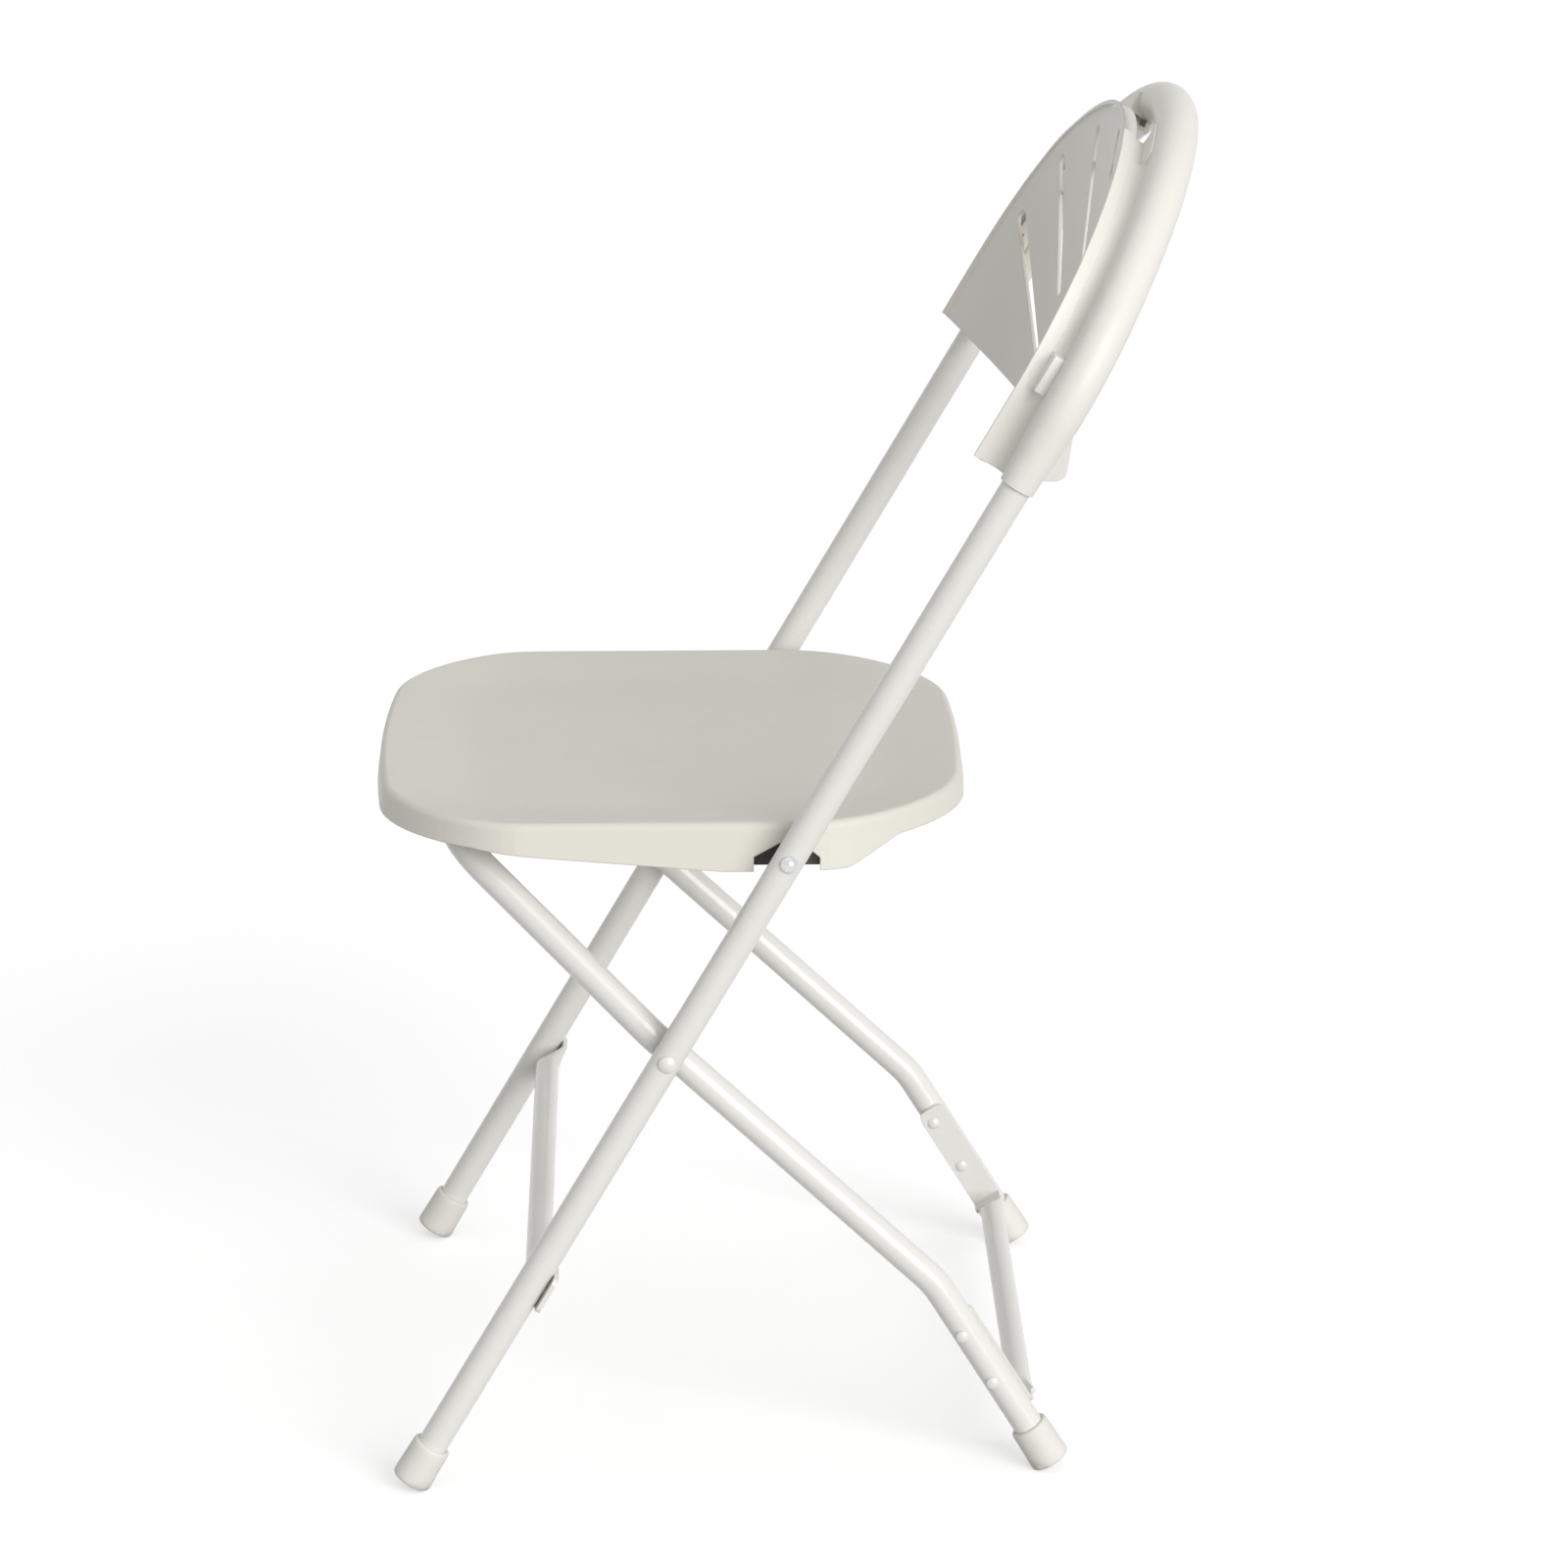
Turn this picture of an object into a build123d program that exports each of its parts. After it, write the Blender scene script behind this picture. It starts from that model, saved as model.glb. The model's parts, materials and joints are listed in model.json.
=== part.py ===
from build123d import *
from math import atan2, cos, degrees, hypot, radians, sin, tan
import os

# Folding chair with a fan back: two steel posts, a moulded back, a moulded seat and a bent rear leg frame.
# Millimetres. X runs across the chair, the sitter looks along -Y, +Z is up.
# The origin is at the middle of the chair's footprint box, on the floor.

# ---- overall sizes -------------------------------------------------------------------------------
POST_SPACING = 440.0        # between the centre lines of the two posts
BACK_LEAN = 30.3            # posts, from the vertical, degrees
BACK_TOP = 958.0            # top of the back arch's centre line, along the posts from the floor end
SEAT_HEIGHT = 429.0         # top edge of the seat
SEAT_DEPTH = 380.0
SEAT_SIDE_GAP = 6.0         # between the seat's skirt and each post
SEAT_FRONT = -23.6          # front of the seat's outline, from the front feet

# ---- steel tube ----------------------------------------------------------------------------------
TUBE_OD = 19.05
TUBE_WALL = 1.2
BRACE_OD = 16.0
BRACE_WALL = 1.2
BLADE_THICK = 3.0           # crushed end of a brace
BLADE_WIDTH = 25.0
BLADE_TAPER = 20.0          # length over which a brace is crushed flat
BLADE_PAST_POST = 11.0      # a blade ends this far past the post's centre line
BLADE_CORNER_R = 4.0
RIVET_R = 3.0
RIVET_HEAD_R = 5.5
RIVET_HEAD_H = 2.2
BRACE_RIVET_R = 2.5
BRACE_HEAD_R = 4.0
BRACE_HEAD_H = 1.6
SPACER_R = 8.0              # washer between a post and a leg
SPACER_PLAY = 0.1           # between a washer or a bush and the post beside it
PIN_CLEARANCE = 0.08        # round a pin in a moving hole
FIT = 0.05                  # round a pin in a fixed hole, a tube in its cap
SEAT_OF_PART = 0.3          # between parts that move and rest on each other

# ---- feet ----------------------------------------------------------------------------------------
CAP_R = 12.75
SOLE_R = 11.15              # flat middle of the cap's sole
CAP_LENGTH = 28.0
CAP_FLOOR = 4.0             # rubber under the end of the tube
FOOT_SINK = 0.9             # how far the cap's rim is cut back to stand flat
CAP_DRAFT = 0.5             # how much slimmer it is at its collar
CAP_COLLAR = 3.0            # length of the tapered collar
CAP_COLLAR_IN = 1.4         # how much slimmer it is at its open end

# ---- places along the posts, from their floor ends --------------------------------------------------
BRACE_AT = 153.0
BRACE_SETBACK = 4.5         # front brace's centre line behind the posts' centre lines
LEG_PIVOT_AT = 322.2
SEAT_PIVOT_AT = 470.8
SLEEVE_END = 741.4
POST_END = 800.0            # top end of the steel posts, inside the back's sleeves

# ---- rear leg frame --------------------------------------------------------------------------------
LEG_GAP = 4.45              # between a post's inner side and the leg beside it
MAIN_LEAN = 46.8            # main stretch of the legs, from the vertical
FOOT_LEAN = 31.6            # lower stretch
PIVOT_TO_BEND = 229.6
PIVOT_TO_TURN = 13.0        # up the legs, from the rivets to where they turn inwards
BAR_HALF = 152.0            # half width of the frame at its top corners, before they are rounded
CORNER_R = 38.0
BEND_R = 60.0
REAR_BRACE_AT = 37.0        # from the floor end of the rear legs
REAR_BRACE_SETBACK = 2.0
TAB_TOP_AT = 115.0          # top of the brace's tabs, from the floor end of the rear legs
TAB_WIDTH = 19.5
TAB_TAPER = 18.0
TAB_TURN = 14.5             # flat length of the blade before it turns up into the tab
TAB_BEND_R = 5.0
TAB_CORNER_R = 6.0
TAB_RIVETS = (67.5, 104.5)  # from the floor end of the rear legs
TAB_RIVET_FORWARD = 3.0     # in front of the leg's centre line

# ---- moulded back ----------------------------------------------------------------------------------
SLEEVE_R = 11.25            # at the sleeves' lower ends
ARCH_R = 13.6
ARCH_SPRING = 790.0         # where the arch leaves the straight sleeves
ARCH_SIDE_R = 112.0
FAN_HALF = 202.0
FAN_BOTTOM = 742.0
FAN_TOP = 944.0
FAN_SPRING = 783.0
FAN_SIDE_R = 140.0
FAN_FRONT = -29.0           # front of the fan's rim, from the plane of the posts
FAN_BACK = 130.0            # nothing of the back lies further behind that plane
FAN_SPARE = 60.0            # drawn past the lower edge before it is trimmed
FAN_STATIONS = (0.062, 0.466, 0.764)    # the sheet's middle sections, from FAN_SPRING to FAN_TOP
LIP_DEPTH = 17.0
FAN_SAG = 80.0              # hollow of the panel's lower edge
FAN_SAG_MIN = 0.6           # and of its top
SECTION_HALF_MIN = 60.0     # a section of the panel is at least this wide, each side
SECTION_SPARE = 8.0         # and drawn this far past the outline
FAN_BOTTOM_SLOPE = 7.0      # the lower edge drops towards its middle, degrees
PANEL_WALL = 3.0
NECK_INSET = 8.0            # from the lip's outer face to the neck's inner face
HANDLE_HALF = 58.0          # half length of the handle opening
HANDLE_LIP = 9.0            # depth of the lip in front of it
HANDLE_BELOW = 9.0          # from the outline's top in to the opening's lower side
HANDLE_ABOVE = 19.0         # and out to its upper side, inside the arch tube
ROLL_R = 6.0                # rounded front edge of the lip there
BRIDGE_HALF = 92.0          # the groove beside the fan ends here
SLOT_TURNS = (0, 17.5, 34.0, 48.0)  # the slots' angles from the middle, on both sides
SLOT_FOCUS = 668.0          # the slots point here
SLOT_LOW_INSET = 97.0       # from the outline in to the slots' lower ends
SLOT_HIGH_INSET = 18.0      # and to their upper ends
SLOT_WIDTHS = (4.2, 6.4)    # lower and upper ends
BACK_RIB_INSET = 33.0       # stiffening rib behind the panel
BACK_RIB_WALL = 2.5
BACK_RIB_DEPTH = 8.0
BACK_RIB_ROOT = 0.5         # how far it is sunk into the panel
SOCKET_ROOM = 0.5           # past the post's end, in a sleeve
KEY_AT = 808.0
KEY_LENGTH = 26.0
KEY_DEPTH = 5.0
KEY_FRONT = -15.5
KEY_WIDTH = 20.0            # across the chair
KEY_SHORT = 2.0             # its middle lies this far inside the fan's side
KEY_EDGE_R = 0.8
KEY_CLEARANCE = 0.15
SCOOP_R = 28.0              # thumb recess beside a key
SCOOP_HALF = 19.0           # half its length, where it leaves the lip's rear edge
SCOOP_SHY = 1.0             # it starts this far in front of that edge

# ---- moulded seat ----------------------------------------------------------------------------------
SEAT_FRONT_R = 100.0
SEAT_REAR_R = 118.0
SEAT_WALL = 3.0
SEAT_DISH = 7.0             # the seat's middle lies this far under its crest
SEAT_EDGE_R = 5.0
CREST_INSET = 8.0           # from the skirt's lower edge in to the crest
DISH_INSET = 60.0           # and in to the dish's floor
DISH_R = 250.0              # rounds the floor into the slopes
SKIRT_FLARE = 5.0           # how far the skirt's lower edge stands out past the top edge
SKIRT_DEEP = 30.0           # skirt below the seat's top edge, at the pivots
SKIRT_FRONT = 17.0          # and at the front
SKIRT_REAR = 15.5           # and at the rear
SKIRT_FRONT_RUN = 60.0      # the skirt starts to deepen this far from the seat's front
DEEP_FRONT = 40.0           # it is deepest from here in front of the pivots
DEEP_BEHIND = 42.0          # to here behind them
SKIRT_REAR_RUN = 42.0       # straight stretch at the seat's rear
SKIRT_RISE_MIN = 10.0
SKIRT_SPARE = 6.0           # drawn past its deepest edge before it is trimmed
SEAT_CORNER_MIN = 24.0      # smallest corner radius of the seat's inner outlines
SKIRT_LINE_R = 14.0
RIB_WALL = 2.0
RIB_DEPTH = 9.0
RIB_COUNT = 5               # each way
RIBS_FROM_BAR = 34.0        # the ribs start this far behind the bar
RIBS_FROM_BACK = 20.0       # and stop this far from the seat's rear
UNDER_HEIGHT = 20.0         # ribs and bosses are drawn this tall and trimmed by the shell
POCKET_WIDTH = 42.0
POCKET_IN = 12.0            # it is cut from this far inside the skirt's lower edge
POCKET_DEPTH = 20.0
POCKET_FRONT_RISE = 9.0     # height of the window at its front edge
POCKET_REAR_RISE = 8.0
POCKET_PEAK = (-5.0, 17.5)  # its highest corner, from the pivot and from the skirt's lower edge
POCKET_SHOULDER = (9.0, 15.0)   # its rear upper corner, from the rear edge
POCKET_UNDER = 2.0          # it runs this far past the skirt's lower edge

BRACKET_THICK = 2.5
BRACKET_GAP = 3.4           # between a bracket and the skirt, which curves in behind it
BRACKET_HALF = 31.0         # half length of a seat bracket
BRACKET_EAR = 9.0           # round the bolt, above its centre
BRACKET_CORNER = 8.0        # cut off its lower corners
BRACKET_ABOVE = 1.5         # from the skirt's lower edge up to the bracket's
FLANGE_GAP = 10.0           # the flanges stop this far from the bolt
FLANGE_DROP = 14.5          # from the seat's top edge to the flanges' upper side
FLANGE_WIDTH = 25.0
FLANGE_SCREW_IN = 9.0       # from the flanges' inner edge to their screws
HOOK_X = 95.0               # hooks under the seat, from the middle
HOOK_WIDTH = 24.0
HOOK_FOOT = 22.0            # length of the hook's foot, in front of its upright
HOOK_DROP = 7.0             # from the bar's centre down to where the hook bends away
HOOK_LEAD = 6.0             # lead-in at its lower end, each way
HOOK_SCREW_AHEAD = 30.0     # of the bar's centre
HOOK_PAD_LENGTH = 58.0      # boss over the hook and the bar
HOOK_PAD_AHEAD = 12.0       # its middle lies this far in front of the bar
HOOK_PAD_SIDE = 2.0         # and it is this much wider than the hook, each side
GLIDE_WALL = 1.5
GLIDE_PAST_HOOK = 3.0
PAD_DEPTH = 0.9             # the hooks' bosses stand this far under the seat's floor

BOLT_R = 3.0
BOLT_HEAD_R = 5.4
BUSH_R = 5.6
NUT_WIDTH = 6.0
NUT_R = 5.8                 # across its corners, which are turned down a little
NUT_TURNED_R = 5.6
BOLT_PAST_NUT = 2.5
BOLT_HEAD_H = 3.8
SCREW_R = 2.1
SCREW_HEAD_R = 4.2
SCREW_FACE_R = 3.2          # of the head's underside, which faces the floor
SCREW_HEAD_H = 2.0
SCREW_LENGTH = 9.0
SCREW_ROOM = 0.5            # past its tip

CUTTER = 1200.0             # side of a block that cuts away all that lies past a plane

# ---- worked out -------------------------------------------------------------------------------------
HALF = POST_SPACING / 2
TUBE_R = TUBE_OD / 2
LEG_X = HALF - TUBE_OD - LEG_GAP
LEAN = radians(BACK_LEAN)
UP = Vector(0, sin(LEAN), cos(LEAN))        # along the posts
FRONT_FOOT_Z = SOLE_R * sin(LEAN) - FOOT_SINK
SEAT_HALF = HALF - TUBE_R - SEAT_SIDE_GAP
SEAT_BACK = SEAT_FRONT + SEAT_DEPTH


def on_post(along, behind=0.0, x=0.0):
    """A point in the plane of the posts, or that far behind it."""
    return Vector(x, 0, FRONT_FOOT_Z) + UP * along + Vector(0, cos(LEAN), -sin(LEAN)) * behind


LEG_PIVOT = on_post(LEG_PIVOT_AT)
SEAT_PIVOT = on_post(SEAT_PIVOT_AT)
MAIN = Vector(0, sin(radians(MAIN_LEAN)), -cos(radians(MAIN_LEAN)))     # down the main stretch
LOWER = Vector(0, sin(radians(FOOT_LEAN)), -cos(radians(FOOT_LEAN)))    # down the lower stretch
LEG_BEND = LEG_PIVOT + MAIN * PIVOT_TO_BEND
REAR_FOOT_Z = SOLE_R * sin(radians(FOOT_LEAN)) - FOOT_SINK
REAR_FOOT = LEG_BEND + LOWER * ((LEG_BEND.Z - REAR_FOOT_Z) / cos(radians(FOOT_LEAN)))
LEG_TURN = LEG_PIVOT - MAIN * PIVOT_TO_TURN
SKIRT_LOW = SEAT_HEIGHT - SKIRT_DEEP - SKIRT_SPARE  # the seat's outline is drawn here
EAR_INSET = SKIRT_FLARE * (SEAT_PIVOT.Z + BRACKET_EAR - SKIRT_LOW) / (SEAT_HEIGHT - SKIRT_LOW)
BRACKET_X = SEAT_HALF - SEAT_WALL - EAR_INSET - BRACKET_GAP - BRACKET_THICK     # inner face of its upright
FLANGE_TOP = SEAT_HEIGHT - FLANGE_DROP
FLANGE_X = BRACKET_X + BRACKET_THICK - FLANGE_WIDTH
GLIDE_R = TUBE_R + GLIDE_WALL
HOOK_TOP = SEAT_HEIGHT - SEAT_DISH - SEAT_WALL - PAD_DEPTH
BAR_Z = HOOK_TOP - SEAT_OF_PART - GLIDE_R
BAR = LEG_PIVOT - MAIN * ((BAR_Z - LEG_PIVOT.Z) / cos(radians(MAIN_LEAN)))  # the bar under the seat

# The model is built with the front feet at Y = 0 and moved so that the origin is in mid footprint.
FRONT_INSET = SKIRT_FLARE * (SEAT_HEIGHT - SKIRT_FRONT - SKIRT_LOW) / (SEAT_HEIGHT - SKIRT_LOW)
ARCH_BACK = on_post(BACK_TOP).Y + ARCH_R
MIDDLE = Location((0, -(SEAT_FRONT + FRONT_INSET + ARCH_BACK) / 2, 0))
POST_FRAME = Location((0, 0, FRONT_FOOT_Z), (-BACK_LEAN, 0, 0))
LEG_FRAME = Location(REAR_FOOT, (FOOT_LEAN, 0, 0))
ON_FLOOR = (Align.CENTER, Align.CENTER, Align.MIN)


def along_x(radius, x0, x1, point=Vector(0, 0, 0)):
    """A round bar along X, through the point."""
    low, high = min(x0, x1), max(x0, x1)
    return Plane((low, point.Y, point.Z), z_dir=(1, 0, 0)) * extrude(Circle(radius), high - low)


def tube(radius, wall, length):
    return extrude(Circle(radius) - Circle(radius - wall), length)


def mirrored(shape):
    return mirror(shape, Plane.YZ)


def slab(face, front, back):
    """The face, drawn in X and along the posts, as a plate between two depths behind the posts' plane."""
    return extrude(Plane.XZ.offset(-front) * face, back - front, dir=(0, 1, 0))


def bent_wire(points, radii):
    """Straight runs through the points, with the inner corners rounded to the radii."""
    edges, start = [], points[0]
    for before, corner, after, radius in zip(points, points[1:], points[2:], radii):
        back, ahead = (before - corner).normalized(), (after - corner).normalized()
        half = radians(back.get_angle(ahead)) / 2
        run = min(radius / tan(half), 0.45 * (before - corner).length, 0.45 * (after - corner).length)
        radius = run * tan(half)
        bisector = (back + ahead).normalized()
        middle = corner + bisector * (radius / sin(half) - radius)
        edges.append(Line(start, corner + back * run))
        edges.append(ThreePointArc(corner + back * run, middle, corner + ahead * run))
        start = corner + ahead * run
    return Wire(edges + [Line(start, points[-1])])


def arch_shape(half, spring, top, side_r):
    """Centre and radius of an arch's top arc, and the angle from the vertical where it ends."""
    rise = top - spring
    inner = half - side_r
    top_r = (inner ** 2 + rise ** 2 - side_r ** 2) / (2 * (rise - side_r))
    return top - top_r, top_r, atan2(inner, spring - top + top_r)


def arch_edges(half, spring, top, side_r):
    """Three tangent arcs from (half, spring) over (0, top) to (-half, spring)."""
    centre, top_r, turn = arch_shape(half, spring, top, side_r)
    joint = (top_r * sin(turn), centre + top_r * cos(turn))
    mid = (radians(90) - turn) / 2
    shoulder = (half - side_r + side_r * cos(mid), spring + side_r * sin(mid))
    return [
        ThreePointArc((half, spring), shoulder, joint),
        ThreePointArc(joint, (0, top), (-joint[0], joint[1])),
        ThreePointArc((-joint[0], joint[1]), (-shoulder[0], shoulder[1]), (-half, spring)),
    ]


def arch_face(half, bottom, spring, top, side_r):
    edges = arch_edges(half, spring, top, side_r)
    legs = [Line((half, bottom), (half, spring)), Line((-half, spring), (-half, bottom))]
    return make_face(edges + legs + [Line((-half, bottom), (half, bottom))])


def fan_face(inset=0.0, bottom=FAN_BOTTOM):
    """The fan's outline, moved inwards by the inset."""
    return arch_face(FAN_HALF - inset, bottom, FAN_SPRING, FAN_TOP - inset, FAN_SIDE_R - inset)


# ---- back frame ---------------------------------------------------------------------------------------
def post():
    """Left post: a straight tube with holes for the rivet and the bolt."""
    body = Pos(HALF, 0, CAP_FLOOR) * tube(TUBE_R, TUBE_WALL, POST_END - CAP_FLOOR)
    for place, pin_r in ((LEG_PIVOT_AT, RIVET_R), (SEAT_PIVOT_AT, BOLT_R)):
        body -= along_x(pin_r + FIT, HALF - TUBE_OD, HALF + TUBE_OD, Vector(0, 0, place))
    body -= Pos(HALF, TUBE_R, BRACE_AT) * Rot(90, 0, 0) * Cylinder(BRACE_RIVET_R + FIT, TUBE_R)
    return POST_FRAME * body


def foot_cap():
    """Rubber cap: a stepped cup with a rounded rim, on the Z axis with its sole at the origin."""
    bore = TUBE_R + FIT
    outline = Polyline(
        (0, 0), (SOLE_R, 0), (CAP_R, CAP_R - SOLE_R), (CAP_R - CAP_DRAFT, CAP_LENGTH - CAP_COLLAR),
        (CAP_R - CAP_COLLAR_IN, CAP_LENGTH), (bore, CAP_LENGTH), (bore, CAP_FLOOR), (0, CAP_FLOOR),
        close=True,
    )
    return revolve(Plane.XZ * make_face(outline), Axis.Z)


def floor_cut():
    return Pos(0, 0, -CUTTER / 2) * Box(CUTTER, CUTTER, CUTTER)


def front_foot_cap():
    return POST_FRAME * Pos(HALF, 0, 0) * foot_cap() - floor_cut()


def round_section(radius):
    """A circle in four arcs, one for each side of a crushed end."""
    side = radius * cos(radians(45))
    corners = ((side, side), (-side, side), (-side, -side), (side, -side))
    middles = ((0, radius), (-radius, 0), (0, -radius), (radius, 0))
    arcs = [ThreePointArc(*points) for points in zip(corners, middles, corners[1:] + corners[:1])]
    return make_face(arcs)


def crushed_end(start, end, width, shift=0.0):
    """A round brace crushed to a flat blade: it runs along X, and the blade's width runs along Z."""
    round_end = Plane((start, 0, 0), x_dir=(0, 1, 0), z_dir=(1, 0, 0)) * round_section(BRACE_OD / 2)
    flat_end = Plane((end, shift, 0), x_dir=(0, 1, 0), z_dir=(1, 0, 0)) * Rectangle(BLADE_THICK, width)
    return loft([round_end, flat_end], ruled=True)


def brace_bore(half):
    """The hollow of a brace, up to its crushed ends."""
    return along_x(BRACE_OD / 2 - BRACE_WALL, -half, half)


def front_brace():
    """Cross tube whose crushed ends lie against the backs of the posts."""
    blade_at = TUBE_R + BLADE_THICK / 2 - BRACE_SETBACK
    flat = HALF - TUBE_R - BLADE_CORNER_R
    straight = flat - BLADE_TAPER
    end = HALF + BLADE_PAST_POST
    body = along_x(BRACE_OD / 2, -straight, straight)
    for side in (1, -1):
        half = crushed_end(straight, flat, BLADE_WIDTH, blade_at)
        half += Pos((flat + end) / 2, blade_at, 0) * Box(end - flat, BLADE_THICK, BLADE_WIDTH)
        half = fillet(half.edges().filter_by(Axis.Y).group_by(Axis.X)[-1], BLADE_CORNER_R)
        half -= Pos(HALF, blade_at, 0) * Rot(90, 0, 0) * Cylinder(BRACE_RIVET_R + FIT, 2 * BLADE_THICK)
        body += half if side > 0 else mirrored(half)
    body -= brace_bore(straight)
    return POST_FRAME * Pos(0, BRACE_SETBACK, BRACE_AT) * body


def dome_head(radius, height):
    """Low domed head that sits on the XY plane."""
    ball = (radius ** 2 + height ** 2) / (2 * height)
    return Pos(0, 0, height - ball) * Sphere(ball) & Pos(0, 0, height / 2) * Cylinder(radius, height)


def plain_head(radius, height):
    """Low head of a small rivet, narrower at its top, that sits on the XY plane."""
    return Pos(0, 0, height / 2) * Cone(radius, 0.7 * radius, height)


def rivet(radius, grip, head, tail):
    """Rivet along Z: one head past the grip and one under it."""
    shank = Pos(0, 0, grip / 2) * Cylinder(radius, grip)
    return shank + Pos(0, 0, grip) * head + Rot(180, 0, 0) * tail


def brace_rivet():
    """Through a front brace blade and the back wall of the post."""
    start = ((TUBE_R - TUBE_WALL) ** 2 - BRACE_HEAD_R ** 2) ** 0.5
    head = plain_head(BRACE_HEAD_R, BRACE_HEAD_H)
    body = rivet(BRACE_RIVET_R, TUBE_R + BLADE_THICK - start, head, head)
    return POST_FRAME * (Plane((HALF, start, BRACE_AT), z_dir=(0, 1, 0)) * body)


def leg_pivot_rivet():
    """Rivet through a post and a leg, along X."""
    inner = LEG_X - TUBE_R
    head = dome_head(RIVET_HEAD_R, RIVET_HEAD_H)
    body = rivet(RIVET_R, HALF + TUBE_R - inner, head, plain_head(RIVET_HEAD_R, RIVET_HEAD_H))
    return Plane((inner, LEG_PIVOT.Y, LEG_PIVOT.Z), z_dir=(1, 0, 0)) * body


def leg_spacer():
    """Washer between a post and the leg beside it."""
    start = LEG_X + TUBE_R + SEAT_OF_PART / 2
    width = HALF - TUBE_R - SPACER_PLAY - start
    ring = extrude(Circle(SPACER_R) - Circle(RIVET_R + FIT), width)
    return Plane((start, LEG_PIVOT.Y, LEG_PIVOT.Z), z_dir=(1, 0, 0)) * ring


# ---- seat pivot -------------------------------------------------------------------------------------
def seat_bolt():
    """Chrome dome-head bolt, from outside a post through the seat bracket."""
    tip = BRACKET_X - NUT_WIDTH - BOLT_PAST_NUT
    outside = HALF + TUBE_R
    body = Plane((tip, SEAT_PIVOT.Y, SEAT_PIVOT.Z), z_dir=(1, 0, 0)) * extrude(Circle(BOLT_R), outside - tip)
    place = Plane((outside, SEAT_PIVOT.Y, SEAT_PIVOT.Z), z_dir=(1, 0, 0))
    return body + place * dome_head(BOLT_HEAD_R, BOLT_HEAD_H)


def seat_bolt_bush():
    """Spacer on the bolt, between a post and the seat bracket."""
    start = BRACKET_X + BRACKET_THICK + SEAT_OF_PART / 2
    width = HALF - TUBE_R - SPACER_PLAY - start
    ring = extrude(Circle(BUSH_R) - Circle(BOLT_R + FIT), width)
    return Plane((start, SEAT_PIVOT.Y, SEAT_PIVOT.Z), z_dir=(1, 0, 0)) * ring


def seat_bolt_nut():
    """Hexagon lock nut inside the seat bracket."""
    start = BRACKET_X - NUT_WIDTH - SEAT_OF_PART / 2
    nut = extrude(RegularPolygon(NUT_R, 6) - Circle(BOLT_R + FIT), NUT_WIDTH)
    nut &= Pos(0, 0, NUT_WIDTH / 2) * Cylinder(NUT_TURNED_R, NUT_WIDTH)
    return Plane((start, SEAT_PIVOT.Y, SEAT_PIVOT.Z), z_dir=(1, 0, 0)) * nut


# ---- moulded back -----------------------------------------------------------------------------------------
def fan_half_width(along):
    """Half the width of the fan's outline at a height along the posts."""
    centre, top_r, turn = arch_shape(FAN_HALF, FAN_SPRING, FAN_TOP, FAN_SIDE_R)
    if along <= FAN_SPRING:
        return FAN_HALF
    if along < centre + top_r * cos(turn):
        return FAN_HALF - FAN_SIDE_R + (FAN_SIDE_R ** 2 - (along - FAN_SPRING) ** 2) ** 0.5
    return max(top_r ** 2 - (along - centre) ** 2, 0) ** 0.5


def panel_section(along, wall=PANEL_WALL, behind=0.0):
    """Crescent across the panel at a height along the posts."""
    edge = max(fan_half_width(along), SECTION_HALF_MIN)
    half = edge + SECTION_SPARE
    sag = max(FAN_SAG * (FAN_TOP - along) / (FAN_TOP - FAN_BOTTOM), FAN_SAG_MIN)
    middle = FAN_FRONT + behind + sag
    side = middle - sag * (half / edge) ** 2
    front = ThreePointArc((-half, side), (0, middle), (half, side))
    back = ThreePointArc((half, side + wall), (0, middle + wall), (-half, side + wall))
    ends = [Line(front @ 1, back @ 0), Line(back @ 1, front @ 0)]
    return Plane.XY.offset(along) * make_face([front, ends[0], back, ends[1]])


def below_bottom():
    """Everything under the sloping lower edge of the panel."""
    block = Pos(0, 0, -CUTTER / 2) * Box(CUTTER, CUTTER, CUTTER)
    return Pos(0, FAN_FRONT, FAN_BOTTOM) * Rot(-FAN_BOTTOM_SLOPE, 0, 0) * block


def fan_sheet(wall, behind, outline):
    """Hollowed sheet, lofted through crescents and trimmed to an outline."""
    middle = [FAN_SPRING + share * (FAN_TOP - FAN_SPRING) for share in FAN_STATIONS]
    heights = [FAN_BOTTOM - FAN_SPARE / 2, *middle, FAN_TOP + PANEL_WALL]
    body = loft([panel_section(along, wall, behind) for along in heights])
    return (body & slab(outline, 2 * FAN_FRONT, FAN_BACK)) - below_bottom()


def fan_inset(x, along):
    """How far a point lies inside the fan's outline."""
    centre, top_r, turn = arch_shape(FAN_HALF, FAN_SPRING, FAN_TOP, FAN_SIDE_R)
    if along <= FAN_SPRING:
        return FAN_HALF - abs(x)
    if atan2(abs(x), along - centre) < turn:
        return top_r - hypot(x, along - centre)
    return FAN_SIDE_R - hypot(abs(x) - FAN_HALF + FAN_SIDE_R, along - FAN_SPRING)


def slot_reach(turn, inset):
    """From the slots' focus, along a slot, to where it is that far inside the outline."""
    low, high = 0.0, FAN_TOP - SLOT_FOCUS + FAN_HALF
    while high - low > 0.01:
        reach = (low + high) / 2
        if fan_inset(reach * sin(radians(turn)), SLOT_FOCUS + reach * cos(radians(turn))) > inset:
            low = reach
        else:
            high = reach
    return low


def fan_slot(turn):
    """One slot of the fan, wider at its upper end."""
    start, end = slot_reach(turn, SLOT_LOW_INSET), slot_reach(turn, SLOT_HIGH_INSET)
    low, high = SLOT_WIDTHS[0] / 2, SLOT_WIDTHS[1] / 2
    taper = Polygon((-low, start), (low, start), (high, end), (-high, end), align=None)
    face = taper + Pos(0, start) * Circle(low) + Pos(0, end) * Circle(high)
    return slab(Pos(0, SLOT_FOCUS) * Rot(0, 0, -turn) * face, 2 * FAN_FRONT, FAN_BACK)


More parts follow.
